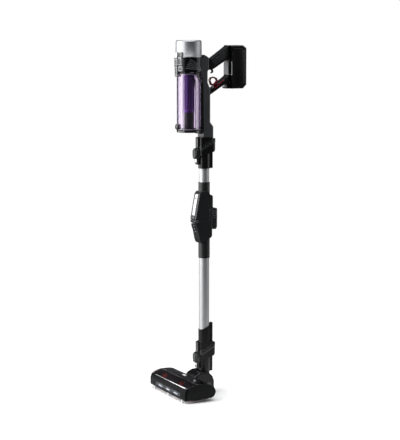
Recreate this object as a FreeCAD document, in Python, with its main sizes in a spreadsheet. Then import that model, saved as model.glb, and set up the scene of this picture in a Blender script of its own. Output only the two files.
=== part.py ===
"""Cordless stick vacuum: floor head, hinged wand with a knee, and a handheld unit.

Frame: +Z up, the floor at z = 0, the wand's axis on x = y = 0, and the front at -Y.
The handle and the battery are at +Y. Millimetres.
"""
import FreeCAD, Part
import math
import os
import Sketcher

# Driving dimensions, as they stand in the sheet.
SIZES = {
    "gap": 0.3,             # clear space between pieces that move past each other
    "running": 0.05,        # radial clearance of a shaft in its bore
    "head_wide": 256,       # floor head, cap to cap
    "cap_thick": 12,        # end caps of the floor head
    "cradle_wide": 68,      # rear fork that holds the neck
    "slot_wide": 42,        # open space between the fork's arms
    "pitch_z": 30,          # height of the neck's pitch axis
    "pin_radius": 4.5,      # pitch pins
    "barrel_radius": 22,    # neck barrel
    "roller_y": -92,        # brush roller axis
    "roller_z": 27,
    "roller_radius": 21,    # over the bristles
    "belt_ratio": 2,        # roller turns once for this many motor turns
    "pinion_radius": 6,
    "motor_y": -46,         # brush motor axis
    "motor_z": 27,
    "wheel_radius": 13,
    "wheel_y": 6,
    "wheel_wide": 8,
    "axle_radius": 2.5,
    "tube_radius": 16,
    "tube_wall": 1.2,
    "sleeve_radius": 18,
    "socket_radius": 18.5,
    "socket_bore": 15.5,
    "rib_half": 7,          # electrical channel on the back of the sleeves
    "rib_back": 27,
    "joint_low": 66,        # foot of the lower joint, on the neck
    "joint_top": 717,       # foot of the upper joint, on the upper tube
    "knee_y": -33,          # knee axis, near the front of the wand
    "knee_z": 551,
    "knee_wide": 38,
    "bin_y": -54,
    "bin_radius": 37,
    "bin_wall": 1.8,
    "bin_low": 838,
    "bin_high": 1017,
    "flap_thick": 6,
    "cap_radius": 41,
    "cap_low": 1064,
    "cap_high": 1116,
    "spine_wide": 40,
    "handle_wide": 30,
    "battery_front": 84,
    "battery_back": 137,
    "battery_wide": 56,
    "battery_low": 965,
    "battery_high": 1100,
}


class Size:
    """A length: its number, and the same sum written for the sheet."""

    def __init__(self, number, text=None):
        self.number = float(number)
        self.text = text or repr(float(number))

    def join(self, other, sign, number):
        return Size(number, "(%s %s %s)" % (self.text, sign, other.text))

    def __add__(self, other):
        other = size(other)
        return self.join(other, "+", self.number + other.number)

    def __sub__(self, other):
        other = size(other)
        return self.join(other, "-", self.number - other.number)

    def __mul__(self, other):
        other = size(other)
        return self.join(other, "*", self.number * other.number)

    def __truediv__(self, other):
        other = size(other)
        return self.join(other, "/", self.number / other.number)

    def __neg__(self):
        return self * -1

    def __radd__(self, other):
        return size(other) + self

    def __rsub__(self, other):
        return size(other) - self

    def __rmul__(self, other):
        return size(other) * self


def size(value):
    return value if isinstance(value, Size) else Size(value)


doc = FreeCAD.newDocument("StickVacuum")
sheet = doc.addObject("Spreadsheet::Sheet", "Sizes")
for row, (alias, number) in enumerate(SIZES.items(), 1):
    sheet.set("A%d" % row, alias)
    sheet.set("B%d" % row, str(number))
    sheet.setAlias("B%d" % row, alias)
doc.recompute()
D = {alias: Size(number, "Sizes." + alias) for alias, number in SIZES.items()}
PARTS = []


def bind(thing, **values):
    """Set an object's properties from the sheet: Placement_Base_x stands for Placement.Base.x."""
    for name, value in values.items():
        thing.setExpression(name.replace("_", "."), size(value).text)


def place(thing, x=0, y=0, z=0):
    bind(thing, Placement_Base_x=x, Placement_Base_y=y, Placement_Base_z=z)
    return thing


def keep(label, thing, *where):
    """Name a finished piece, put it in its place and list it for export."""
    if where:
        place(thing, *where)
    thing.Label = label
    PARTS.append(thing)
    return thing


def new_body(name):
    return doc.addObject("PartDesign::Body", name + "_body")


def sketch(body, plane, offset=0):
    """A sketch on one of the body's own planes, moved along the plane's normal."""
    drawn = body.newObject("Sketcher::SketchObject", "Sketch")
    face = [item for item in body.Origin.OriginFeatures if item.Role == plane][0]
    drawn.AttachmentSupport = [(face, "")]
    drawn.MapMode = "FlatFace"
    bind(drawn, AttachmentOffset_Base_z=offset)
    return drawn


def pin_down(drawn, geometry, point, across, up):
    """Fix one point of a sketch at two lengths from the sketch's origin."""
    for kind, value in (("DistanceX", size(across)), ("DistanceY", size(up))):
        made = drawn.addConstraint(Sketcher.Constraint(kind, -1, 1, geometry, point, value.number))
        drawn.setExpression("Constraints[%d]" % made, value.text)


def draw_outline(drawn, points):
    """A closed outline of straight lines; round corners come later as fillets."""
    first = drawn.GeometryCount
    count = len(points)
    corners = [FreeCAD.Vector(size(across).number, size(up).number, 0) for across, up in points]
    for index, corner in enumerate(corners):
        drawn.addGeometry(Part.LineSegment(corner, corners[(index + 1) % count]), False)
    for index in range(count):
        following = first + (index + 1) % count
        drawn.addConstraint(Sketcher.Constraint("Coincident", first + index, 2, following, 1))
    for index, (across, up) in enumerate(points):
        pin_down(drawn, first + index, 1, across, up)


def draw_circle(drawn, across, up, radius):
    radius = size(radius)
    centre = FreeCAD.Vector(size(across).number, size(up).number, 0)
    made = drawn.addGeometry(Part.Circle(centre, FreeCAD.Vector(0, 0, 1), radius.number), False)
    pin_down(drawn, made, 3, across, up)
    rule = drawn.addConstraint(Sketcher.Constraint("Radius", made, radius.number))
    drawn.setExpression("Constraints[%d]" % rule, radius.text)


def feature(body, kind, drawn, length):
    made = body.newObject("PartDesign::" + kind, kind)
    made.Profile = drawn
    bind(made, Length=length)
    return made


def pad(body, plane, points, low, high):
    drawn = sketch(body, plane, low)
    draw_outline(drawn, points)
    return feature(body, "Pad", drawn, size(high) - low)


def pocket(body, plane, points, low, high):
    drawn = sketch(body, plane, high)
    draw_outline(drawn, points)
    return feature(body, "Pocket", drawn, size(high) - low)


def round_pad(body, plane, circles, low, high):
    drawn = sketch(body, plane, low)
    for circle in circles:
        draw_circle(drawn, *circle)
    return feature(body, "Pad", drawn, size(high) - low)


def round_pocket(body, plane, circles, low, high):
    drawn = sketch(body, plane, high)
    for circle in circles:
        draw_circle(drawn, *circle)
    return feature(body, "Pocket", drawn, size(high) - low)


def turn(body, plane, axis, points):
    drawn = sketch(body, plane)
    draw_outline(drawn, points)
    made = body.newObject("PartDesign::Revolution", "Revolution")
    made.Profile = drawn
    made.ReferenceAxis = (drawn, [axis])
    made.Angle = 360
    return made


def box_points(left, low, right, high):
    return [(left, low), (right, low), (right, high), (left, high)]


def along(edge, axis):
    """True for a straight edge that runs along one axis (0, 1 or 2)."""
    if len(edge.Vertexes) != 2 or not isinstance(edge.Curve, Part.Line):
        return False
    start, end = (vertex.Point for vertex in edge.Vertexes)
    return all(abs(start[other] - end[other]) < 0.001 for other in range(3) if other != axis)


def at_corner(across, up, axis=0):
    """A test for the edges along an axis that pass through one point of the outline."""
    across, up = size(across).number, size(up).number
    first, second = [other for other in range(3) if other != axis]

    def test(edge):
        point = edge.Vertexes[0].Point
        near = abs(point[first] - across) < 0.01 and abs(point[second] - up) < 0.01
        return near and along(edge, axis)

    return test


def in_plane(axis, *levels):
    """A test for the edges that lie wholly in one of some planes across an axis."""
    levels = [size(level).number for level in levels]

    def test(edge):
        box = edge.BoundBox
        low = (box.XMin, box.YMin, box.ZMin)[axis]
        high = (box.XMax, box.YMax, box.ZMax)[axis]
        return any(abs(low - level) < 0.01 and abs(high - level) < 0.01 for level in levels)

    return test


def soften(body, radius, *tests):
    """Round the edges of the body's last feature that pass any of the tests."""
    doc.recompute()
    base = body.Tip
    edges = base.Shape.Edges
    names = ["Edge%d" % (n + 1) for n, edge in enumerate(edges) if any(test(edge) for test in tests)]
    if not names:
        raise RuntimeError("no edges to round on %s" % body.Label)
    rounded = body.newObject("PartDesign::Fillet", "Fillet")
    rounded.Base = (base, names)
    bind(rounded, Radius=radius)
    return rounded


def cylinder(radius, length, x=0, y=0, z=0, axis="z"):
    """A Part cylinder whose foot is at a point and which runs along +X, +Y or +Z."""
    made = doc.addObject("Part::Cylinder", "Cylinder")
    bind(made, Radius=radius, Height=length)
    hinge, angle = {"x": ((0, 1, 0), 90), "y": ((1, 0, 0), -90), "z": ((0, 0, 1), 0)}[axis]
    turned = FreeCAD.Rotation(FreeCAD.Vector(*hinge), angle)
    made.Placement = FreeCAD.Placement(FreeCAD.Vector(), turned)
    return place(made, x, y, z)


def block(x_low, x_high, y_low, y_high, z_low, z_high):
    made = doc.addObject("Part::Box", "Box")
    bind(made, Length=size(x_high) - x_low, Width=size(y_high) - y_low, Height=size(z_high) - z_low)
    return place(made, x_low, y_low, z_low)


def cut(base, *tools):
    for tool in tools:
        made = doc.addObject("Part::Cut", "Cut")
        made.Base = base
        made.Tool = tool
        base = made
    return base


def fuse(*pieces):
    made = doc.addObject("Part::MultiFuse", "Fusion")
    made.Shapes = list(pieces)
    return made


def group(pieces):
    """Several separate like pieces in one node."""
    made = doc.addObject("Part::Compound", "Group")
    made.Links = list(pieces)
    return made


def pipe(outer, bore, low, high, x=0, y=0):
    """A plain round tube along Z."""
    high = size(high)
    shell = cylinder(outer, high - low, x, y, low)
    return cut(shell, cylinder(bore, high - low + 2, x, y, size(low) - 1))


# ---------------------------------------------------------------- floor head
HALF = D["head_wide"] / 2
INNER = HALF - D["cap_thick"] - D["gap"]
CRADLE = D["cradle_wide"] / 2
ROLLER_Y, ROLLER_Z, ROLLER_R = D["roller_y"], D["roller_z"], D["roller_radius"]
CHAMBER_FRONT = ROLLER_Y - ROLLER_R - 7
CHAMBER_BACK = ROLLER_Y + ROLLER_R + 7


def make_end_cap(label, low):
    """Moulded side cap: sloping front, curved shoulder and rounded rear."""
    body = new_body(label)
    outline = [(-91, 9), (-125, 13), (-121, 42), (-112, 51), (-95, 57), (-64, 57),
               (-36, 52), (-24, 36), (-27, 20), (-38, 12)]
    pad(body, "YZ_Plane", outline, low, low + D["cap_thick"])
    soften(body, 6, at_corner(-121, 42), at_corner(-112, 51), at_corner(-27, 20))
    soften(body, 12, at_corner(-36, 52), at_corner(-24, 36), at_corner(-95, 57))
    outer = low + D["cap_thick"] if low.number > 0 else low
    soften(body, 2.5, in_plane(0, outer))
    return keep(label, body)


def make_chassis():
    """Tray under the head: two cheeks, the roller chamber's back wall and the motor bay."""
    body = new_body("head_chassis")
    bay = [(CHAMBER_BACK, 9), (-38, 9), (-28, 18), (-25, 34), (-30, 44), (CHAMBER_BACK, 44)]
    pad(body, "YZ_Plane", bay, -INNER, INNER)
    lip = box_points(-125.1, 7, CHAMBER_FRONT, 13.1)
    pad(body, "YZ_Plane", lip, -INNER, INNER)
    cheek = [(-125.1, 7), (CHAMBER_BACK + 1, 9), (CHAMBER_BACK + 1, 44), (-112, 44), (-120.2, 20),
             (-120.2, 13.1), (-125.1, 13.1)]
    pad(body, "YZ_Plane", cheek, -INNER, 3 - INNER)
    pad(body, "YZ_Plane", cheek, INNER - 3, INNER)
    bay_hole = [(CHAMBER_BACK + 2.5, 11.5), (-40, 11.5), (-31, 19), (-28, 34), (-31.5, 45),
                (CHAMBER_BACK + 2.5, 45)]
    pocket(body, "YZ_Plane", bay_hole, CRADLE + 3, INNER - 12)
    pocket(body, "YZ_Plane", bay_hole, 12 - INNER, -CRADLE - 3)
    pocket(body, "YZ_Plane", box_points(CHAMBER_BACK + 8, 0, -20, 60), -CRADLE - 0.4, CRADLE + 0.4)
    round_pocket(body, "YZ_Plane", [(ROLLER_Y, ROLLER_Z, 6.2)], -INNER - 1, INNER + 1)
    duct = box_points(-16, 14, 16, 40)
    pocket(body, "XZ_Plane", duct, -CHAMBER_BACK - 10, -CHAMBER_BACK + 2)
    belt_bay = box_points(CHAMBER_BACK - 4, 14, D["motor_y"] + 12, 45)
    pocket(body, "YZ_Plane", belt_bay, 3 - INNER, 12.5 - INNER)
    return keep("head_chassis", body)


def make_bumper():
    """Front band: a bluff face with a ridge, and a recess for the light strip."""
    body = new_body("front_bumper")
    face = [(-129, 10), (-131, 14), (-131, 36), (-128, 47), (-120.5, 47), (-120.5, 13.4),
            (-125.4, 13.4), (-125.4, 10)]
    pad(body, "YZ_Plane", face, -INNER, INNER)
    soften(body, 1.5, at_corner(-131, 36), at_corner(-131, 14), at_corner(-128, 47))
    pocket(body, "YZ_Plane", box_points(-132, 15.5, -125.5, 29), -90, 90)
    pocket(body, "YZ_Plane", box_points(-126, 17, -122.5, 28), -84, 84)
    return keep("front_bumper", body)


def make_head():
    make_end_cap("end_cap_right", INNER + D["gap"])
    make_end_cap("end_cap_left", -HALF)
    make_chassis()
    make_bumper()

    lens = new_body("led_lens")
    pad(lens, "YZ_Plane", box_points(-130.4, 15.7, -126.2, 28.8), -89.8, 89.8)
    soften(lens, 1, at_corner(-130.4, 15.7), at_corner(-130.4, 28.8))
    keep("led_lens", lens)

    board = block(-82, 82, -124.2, -122.7, 18, 27)
    lamps = [block(x - 2.5, x + 2.5, -126, -124.2, 20, 25) for x in (-51, 0, 51)]
    keep("led_board", fuse(board, *lamps))

    window = new_body("roller_window")
    shell = [(-128, 47.3), (-125.5, 50.5), (-108, 56), (-95, 58.5), (-88, 58.5), (-88, 56),
             (-95, 56), (-107, 53.4), (-122.5, 48.6), (-122.5, 47.3)]
    pad(window, "YZ_Plane", shell, -INNER, INNER)
    soften(window, 3, at_corner(-125.5, 50.5), at_corner(-108, 56), at_corner(-95, 58.5))
    keep("roller_window", window)

    trim = new_body("window_trim")
    pad(trim, "YZ_Plane", [(-130.6, 41.4), (-129.2, 46.8), (-128.3, 47), (-130.2, 40.4)], -98, 108)
    keep("window_trim", trim)

    cover = new_body("head_cover")
    roof = [(-87.7, 56), (-87.7, 58.5), (-62, 58), (-38, 52.5), (-27, 44.3), (-30, 44.3),
            (-40, 49.5), (-62, 55.5)]
    pad(cover, "YZ_Plane", roof, -INNER, INNER)
    soften(cover, 8, at_corner(-62, 58), at_corner(-38, 52.5))
    pocket(cover, "XY_Plane", box_points(-CRADLE - 0.4, -54.4, CRADLE + 0.4, 0), 30, 70)
    keep("head_cover", cover)

    make_cradle()
    make_brush_drive()

    felts = [block(x - 7, x + 7, -129.4, -125.8, 0, 9.8) for x in (-98, 0, 98)]
    keep("front_felts", group(felts))

    screws = [cylinder(3, 2.1, x, y, 6.8) for x in (-104, 104) for y in (-58, -40)]
    keep("head_screws", group(screws))


def make_cradle():
    """Rear fork of the head: two rounded arms that hold the neck and the rear wheels."""
    body = new_body("neck_cradle")
    side = [(-54, 14), (-54, 50), (-44, 62), (-29, 70), (-13, 71), (4, 65), (15, 54), (20, 40),
            (20, 18), (14, 8), (-20, 8)]
    pad(body, "YZ_Plane", side, -CRADLE, CRADLE)
    soften(body, 12, *[at_corner(*corner) for corner in side[2:8]])
    soften(body, 5, in_plane(0, -CRADLE, CRADLE))
    slot = box_points(-23, -1, 40, 80)
    pocket(body, "YZ_Plane", slot, -D["slot_wide"] / 2, D["slot_wide"] / 2)
    duct = box_points(-16, 14, 16, 40)
    pocket(body, "XZ_Plane", duct, 25, 66)
    hole = D["pin_radius"] + D["running"]
    round_pocket(body, "YZ_Plane", [(0, D["pitch_z"], hole)], 5 - CRADLE, CRADLE - 5)
    well = D["wheel_radius"] + 1.5
    for side_sign in (-1, 1):
        middle = (CRADLE + D["slot_wide"] / 2) / 2 * side_sign
        half = D["wheel_wide"] / 2 + 1
        drawn = [(D["wheel_y"], D["wheel_radius"], well)]
        round_pocket(body, "YZ_Plane", drawn, middle - half, middle + half)
    axle = D["axle_radius"] + D["running"]
    round_pocket(body, "YZ_Plane", [(D["wheel_y"], D["wheel_radius"], axle)], -CRADLE, CRADLE)
    keep("neck_cradle", body)

    middle = (CRADLE + D["slot_wide"] / 2) / 2
    pins = []
    for sign, label in ((-1, "rear_wheel_left"), (1, "rear_wheel_right")):
        centre = middle * sign
        pins.append(cylinder(D["axle_radius"], 12.4, centre - 6.2, D["wheel_y"], D["wheel_radius"], "x"))
        wheel = new_body(label)
        half = D["wheel_wide"] / 2
        round_pad(wheel, "YZ_Plane", [(0, 0, D["wheel_radius"])], -half, half)
        round_pocket(wheel, "YZ_Plane", [(0, 0, D["axle_radius"] + D["running"])], -half - 1, half + 1)
        soften(wheel, 2, lambda edge: edge.BoundBox.YLength > 20)
        keep(label, wheel, centre, D["wheel_y"], D["wheel_radius"])
    keep("wheel_axles", group(pins))


def make_brush_drive():
    """Roller across the head, driven by a toothed belt from a motor in the rear bay."""
    length = INNER * 2 - 36
    core = cylinder(14, length, 18 - INNER, ROLLER_Y, ROLLER_Z, "x")
    bore = cylinder(5, length + 2, 17 - INNER, ROLLER_Y, ROLLER_Z, "x")
    keep("roller_core", cut(core, bore))
    strips = []
    for quarter in range(4):
        strip = block(20 - INNER, INNER - 20, -1.5, 1.5, 14, D["roller_radius"])
        lift = doc.addObject("Part::Compound", "Strip")
        lift.Links = [strip]
        turned = FreeCAD.Rotation(FreeCAD.Vector(1, 0, 0), 45 + 90 * quarter)
        lift.Placement = FreeCAD.Placement(FreeCAD.Vector(), turned)
        strips.append(place(lift, 0, ROLLER_Y, ROLLER_Z))
    keep("roller_bristles", group(strips))
    keep("roller_axle", cylinder(5, INNER * 2 - 4, 2 - INNER, ROLLER_Y, ROLLER_Z, "x"))
    big = D["pinion_radius"] * D["belt_ratio"]
    pulley = cylinder(big, 7, 4.5 - INNER, ROLLER_Y, ROLLER_Z, "x")
    pulley_bore = cylinder(5, 9, 3.5 - INNER, ROLLER_Y, ROLLER_Z, "x")
    keep("roller_pulley", cut(pulley, pulley_bore))

    motor = cylinder(14, 50, 14 - INNER, D["motor_y"], D["motor_z"], "x")
    rear = cylinder(8, 6, 64 - INNER, D["motor_y"], D["motor_z"], "x")
    shaft_hole = cylinder(1.55, 20, 13 - INNER, D["motor_y"], D["motor_z"], "x")
    keep("brush_motor", cut(fuse(motor, rear), shaft_hole))
    pinion = cylinder(D["pinion_radius"], 7, 4.5 - INNER, D["motor_y"], D["motor_z"], "x")
    shaft = cylinder(1.5, 16, 11.5 - INNER, D["motor_y"], D["motor_z"], "x")
    keep("motor_pinion", fuse(pinion, shaft))

    belt = new_body("drive_belt")
    apart = D["motor_y"] - ROLLER_Y
    slope = (D["belt_ratio"] - 1) * D["pinion_radius"] / apart
    low, high = 5 - INNER, 11 - INNER
    for straight, circle, grow in ((pad, round_pad, D["gap"] + 1.6), (pocket, round_pocket, D["gap"])):
        front = big + grow
        back = D["pinion_radius"] + grow
        front_y = ROLLER_Y + front * slope
        back_y = D["motor_y"] + back * slope
        runs = [(front_y, ROLLER_Z + front), (back_y, D["motor_z"] + back),
                (back_y, D["motor_z"] - back), (front_y, ROLLER_Z - front)]
        straight(belt, "YZ_Plane", runs, low, high)
        circle(belt, "YZ_Plane", [(ROLLER_Y, ROLLER_Z, front)], low, high)
        circle(belt, "YZ_Plane", [(D["motor_y"], D["motor_z"], back)], low, high)
    keep("drive_belt", belt)


# ---------------------------------------------------------------- neck
def make_neck():
    """Barrel that pitches in the cradle, with the stem that carries the swivel."""
    half = D["slot_wide"] / 2 - D["gap"]
    barrel = cylinder(D["barrel_radius"], half * 2, -half, 0, D["pitch_z"], "x")
    pins = cylinder(D["pin_radius"], CRADLE * 2 - 12, 6 - CRADLE, 0, D["pitch_z"], "x")
    stem_high = D["joint_low"] - D["gap"]
    stem = cylinder(D["sleeve_radius"], stem_high - D["pitch_z"], 0, 0, D["pitch_z"])
    spigot = cylinder(14, 14, 0, 0, stem_high - 1)
    solid = fuse(barrel, pins, stem, spigot)
    duct = cylinder(11, 70, 0, 0, D["pitch_z"])
    inlet = cylinder(11, 40, 0, -40, D["pitch_z"] - 3, "y")
    keep("neck_yoke", cut(solid, duct, inlet))


# ---------------------------------------------------------------- wand joints
SLOPE = 0.54                # rise of the joints' sloping seam towards the back


def seam(across, lift=0):
    """Height above a joint's foot of the seam between its two halves."""
    return 64 + (across + 22) * SLOPE + lift


def sleeve_with_rib(body, radius, low, high):
    """Round sleeve with a squared channel for the wires down its back."""
    round_pad(body, "XY_Plane", [(0, 0, radius)], low, high)
    rib = box_points(-D["rib_half"], 0, D["rib_half"], D["rib_back"])
    pad(body, "XY_Plane", rib, low, high)


def make_socket(label, foot, bore, bore_depth):
    """Lower half of a wand joint: socket, sloping collar and the block round its button."""
    body = new_body(label)
    collar = [(-21, 40), (-21, seam(-21)), (33.5, seam(33.5)), (33.5, 62), (27, 53), (4, 46)]
    pad(body, "YZ_Plane", collar, -20, 20)
    soften(body, 12, *[at_corner(x, y, 2) for x in (-20, 20) for y in (-21, 33.5)])
    sleeve_with_rib(body, D["socket_radius"], 0, 56)
    pad(body, "YZ_Plane", [(-29.5, 36), (-29.5, 61), (-26, 64), (-10, 64), (-10, 34)], -12, 12)
    pocket(body, "YZ_Plane", [(-40, 30), (-40, 61.3), (-25, 61.3), (-25, 30)], -9.3, 9.3)
    round_pocket(body, "XY_Plane", [(0, 0, D["socket_bore"])], 30, 110)
    round_pocket(body, "XY_Plane", [(0, 0, 11)], 5, 40)
    round_pocket(body, "XY_Plane", [(0, 0, bore)], -1, bore_depth)
    return keep(label, body, 0, 0, foot)


def make_release_button(label, foot):
    """Sprung push button of a wand joint, with the metal-faced tail of its catch below."""
    body = new_body(label)
    side = [(-35.5, 34), (-35.5, 57), (-33, 60.5), (-27.5, 60.5), (-27.5, 34.5), (-21.5, 34.5),
            (-21.5, 14), (-23, 12), (-25, 14), (-25.5, 30), (-32, 30)]
    pad(body, "YZ_Plane", side, -8.5, 8.5)
    soften(body, 1, *[at_corner(*corner) for corner in side[:3]])
    return keep(label, body, 0, 0, foot)


def make_plug(label, foot, high):
    """Upper half of a wand joint: spigot, shoulder with a sloping foot, and front tongue."""
    body = new_body(label)
    shoulder = [(-20, seam(-20, 0.6)), (-20, 98), (27, 98), (27, seam(27, 0.6))]
    pad(body, "YZ_Plane", shoulder, -18, 18)
    soften(body, 10, *[at_corner(x, y, 2) for x in (-18, 18) for y in (-20, 27)])
    pad(body, "YZ_Plane", [(-26, 65.5), (-26, 96), (-24, 98), (-10, 98), (-10, 70)], -8, 8)
    round_pad(body, "XY_Plane", [(0, 0, D["socket_bore"] - D["gap"])], 42, 97)
    if high > 100:
        sleeve_with_rib(body, D["sleeve_radius"], 97, high)
        top = [(-30, 130.5), (-30, 170), (40, 170), (40, 163)]
        pocket(body, "YZ_Plane", top, -30, 30)
        round_pocket(body, "XY_Plane", [(0, 0, D["tube_radius"] + 0.05)], 112, 170)
    round_pocket(body, "XY_Plane", [(0, 0, 12.2)], 40, 120)
    return keep(label, body, 0, 0, foot)


# ---------------------------------------------------------------- wand and knee
KNEE_Y, KNEE_Z = D["knee_y"], D["knee_z"]
KNEE_HALF = D["knee_wide"] / 2
BUTTON_RISE = math.hypot(15, 81)


def on_plate(run, out):
    """A point of the knee's sloping front plate: along it from its foot, and out of it."""
    return (-39 + (15 * run - 81 * out) / BUTTON_RISE, 557 + (81 * run + 15 * out) / BUTTON_RISE)


def make_wand():
    make_socket("head_socket", D["joint_low"], 14 + D["running"], 13.5)
    make_release_button("head_release_button", D["joint_low"])
    make_plug("wand_foot", D["joint_low"], 161)
    wall = D["tube_radius"] - D["tube_wall"]
    keep("lower_tube", pipe(D["tube_radius"], wall, D["joint_low"] + 113, 468))
    keep("upper_tube", pipe(D["tube_radius"], wall, 640, D["joint_top"] + 27.5))
    make_socket("wand_head_socket", D["joint_top"], D["tube_radius"] + 0.05, 28)
    make_release_button("wand_release_button", D["joint_top"])
    make_knee()


def make_knee():
    """Two shells that hinge at the front of the wand, locked by a housing at the back."""
    lower = new_body("knee_lower_shell")
    wedge = [(-17, 481), (-21, 484), (-25, 494), (-30, 520), (-38, 543), (-38, KNEE_Z),
             (21, KNEE_Z), (21, 508), (17, 500)]
    pad(lower, "YZ_Plane", wedge, -KNEE_HALF, KNEE_HALF)
    soften(lower, 5, *[at_corner(x, y, 2) for x in (-KNEE_HALF, KNEE_HALF) for y in (21, -38)])
    round_pad(lower, "XY_Plane", [(0, 0, D["sleeve_radius"])], 434, 510)
    round_pocket(lower, "XY_Plane", [(0, 0, D["tube_radius"] + 0.05)], 430, 470)
    round_pocket(lower, "XY_Plane", [(0, 0, 13.5)], 460, 560)
    for sign in (-1, 1):
        middle = 14.5 * sign
        round_pocket(lower, "YZ_Plane", [(KNEE_Y, KNEE_Z, 9.2)], middle - 6.5, middle + 6.5)
    round_pad(lower, "YZ_Plane", [(KNEE_Y, KNEE_Z, 6)], -7.7, 7.7)
    round_pocket(lower, "YZ_Plane", [(KNEE_Y, KNEE_Z, 2.5)], -8, 8)
    keep("knee_lower_shell", lower)

    upper = new_body("knee_upper_shell")
    start = KNEE_Z + 0.6
    plate = [(KNEE_Y + 1, start), (KNEE_Y - 4, KNEE_Z + 5.6), on_plate(1, 0),
             on_plate(BUTTON_RISE, 0), (-17, 645), (5, 645), (13, 634), (18, 633),
             (21.5, 628), (21.5, start)]
    pad(upper, "YZ_Plane", plate, -KNEE_HALF, KNEE_HALF)
    round_pad(upper, "XY_Plane", [(0, 0, D["sleeve_radius"])], 620, 673)
    pocket(upper, "YZ_Plane", [on_plate(10.5, -5.5), on_plate(10.5, 6), on_plate(81, 6),
                               on_plate(81, -5.5)], -8.9, 8.9)
    round_pocket(upper, "XY_Plane", [(0, 0, D["tube_radius"] + 0.05)], 638, 680)
    round_pocket(upper, "XY_Plane", [(0, 0, 13.5)], 540, 650)
    for sign in (-1, 1):
        middle = 13 * sign
        round_pad(upper, "YZ_Plane", [(KNEE_Y, KNEE_Z, 6)], middle - 5, middle + 5)
    round_pocket(upper, "YZ_Plane", [(KNEE_Y, KNEE_Z, 2.55)], -20, 20)
    round_pocket(upper, "YZ_Plane", [(KNEE_Y, KNEE_Z, 6.5)], -8, 8)
    keep("knee_upper_shell", upper)

    keep("knee_pin", cylinder(2.5, 36, -18, KNEE_Y, KNEE_Z, "x"))

    button = new_body("knee_button")
    pad(button, "YZ_Plane", [on_plate(11, -3), on_plate(11, 1.6), on_plate(13, 2), on_plate(78, 2),
                             on_plate(80.5, 1), on_plate(80.5, -3)], -8.5, 8.5)
    keep("knee_button", button)

    back = new_body("knee_rear_housing")
    bulge = [(21.8, 528), (21.8, 590), (38, 590), (40.5, 586), (40.5, 533), (34, 524), (25, 524)]
    pad(back, "YZ_Plane", bulge, -15, 15)
    soften(back, 5, *[at_corner(x, 40.5, 2) for x in (-15, 15)])
    keep("knee_rear_housing", back)

    keep("knee_hose", pipe(12.6, 11.4, 472, KNEE_Z - 1))


# ---------------------------------------------------------------- handheld unit
BIN_Y, BIN_R = D["bin_y"], D["bin_radius"]
CAP_R = D["cap_radius"]
SPINE_HALF = D["spine_wide"] / 2


def make_spine():
    """Backbone of the handheld unit: inlet duct up the back of the bin to the motor."""
    body = new_body("spine")
    side = [(-12, 815.3), (-12, 978), (-15, 998), (-21, 1012), (-29, 1019), (-29, 1062),
            (-12.5, 1062), (-12.5, 1071), (-9, 1071), (8, 1061.2), (8, 1026), (4, 1019), (4, 985),
            (13, 966), (13, 862), (24, 848), (24, 815.3)]
    pad(body, "YZ_Plane", side, -SPINE_HALF, SPINE_HALF)
    sides = in_plane(0, -SPINE_HALF, SPINE_HALF)
    soften(body, 5, lambda edge: sides(edge) and edge.BoundBox.YMin > 3.9 and edge.BoundBox.ZLength > 1)
    duct = [(-5, 810), (-5, 990), (-20, 1015), (-20, 1050), (-4, 1050), (-4, 990), (9, 960), (9, 866),
            (13, 850), (13, 810)]
    pocket(body, "YZ_Plane", duct, -11, 11)
    keep("spine", body)
    screws = [cylinder(2.6, 1.6, x, 13.05, z, "y") for x in (-12, 12) for z in (880, 930)]
    keep("spine_screws", group(screws))


def make_motor_unit():
    """Round housing over the bin, with the motor, its fan, the filter and the metal cap."""
    high = D["cap_low"] - D["gap"]
    low = D["bin_high"] + D["gap"] + 0.7
    shell = cylinder(CAP_R, high - low, 0, BIN_Y, low)
    inside = cylinder(CAP_R - 3, high - low, 0, BIN_Y, low + 3)
    intake = cylinder(14, 10, 0, BIN_Y, low - 2)
    step = block(-SPINE_HALF - 0.3, SPINE_HALF + 0.3, -29.3, 30, low - 2, high + 2)
    keep("motor_housing", cut(shell, inside, intake, step))

    motor_z = low + 6
    keep("main_motor", cut(cylinder(24, 24, 0, BIN_Y, motor_z), cylinder(3.1, 30, 0, BIN_Y, motor_z - 2)))
    fan = fuse(cylinder(24, 8, 0, BIN_Y, motor_z + 26), cylinder(3, 34, 0, BIN_Y, motor_z))
    keep("impeller", fan)

    base = D["cap_low"]
    cap = new_body("exhaust_cap")
    tall = D["cap_high"] - base
    turn(cap, "YZ_Plane", "V_Axis", [(0, tall - 3), (0, tall), (CAP_R - 1, tall), (CAP_R, 0),
                                     (CAP_R - 2, 0), (CAP_R - 3, tall - 3)])
    soften(cap, 2.6, lambda edge: edge.BoundBox.ZMin > tall.number - 0.01 and edge.BoundBox.XLength > 60)
    keep("exhaust_cap", cap, 0, BIN_Y, base)
    keep("exhaust_filter", cut(cylinder(34, 40, 0, BIN_Y, base + 4), cylinder(18, 42, 0, BIN_Y, base + 3)))

    panel = new_body("front_panel")
    face = [(-98, 1036.5), (-98, 1079), (-95.6, 1079.5), (-95.3, 1036.5)]
    pad(panel, "YZ_Plane", face, -12, 12)
    soften(panel, 1, at_corner(-98, 1036.5), at_corner(-98, 1079))
    pocket(panel, "YZ_Plane", box_points(-99, 1063.5, -90, 1077), -8.3, 8.3)
    keep("front_panel", panel)
    button = new_body("power_button")
    pad(button, "YZ_Plane", box_points(-99.5, 1064, -96.9, 1076.5), -8, 8)
    soften(button, 3, *[at_corner(x, z, 1) for x in (-8, 8) for z in (1064, 1076.5)])
    keep("power_button", button)


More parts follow.
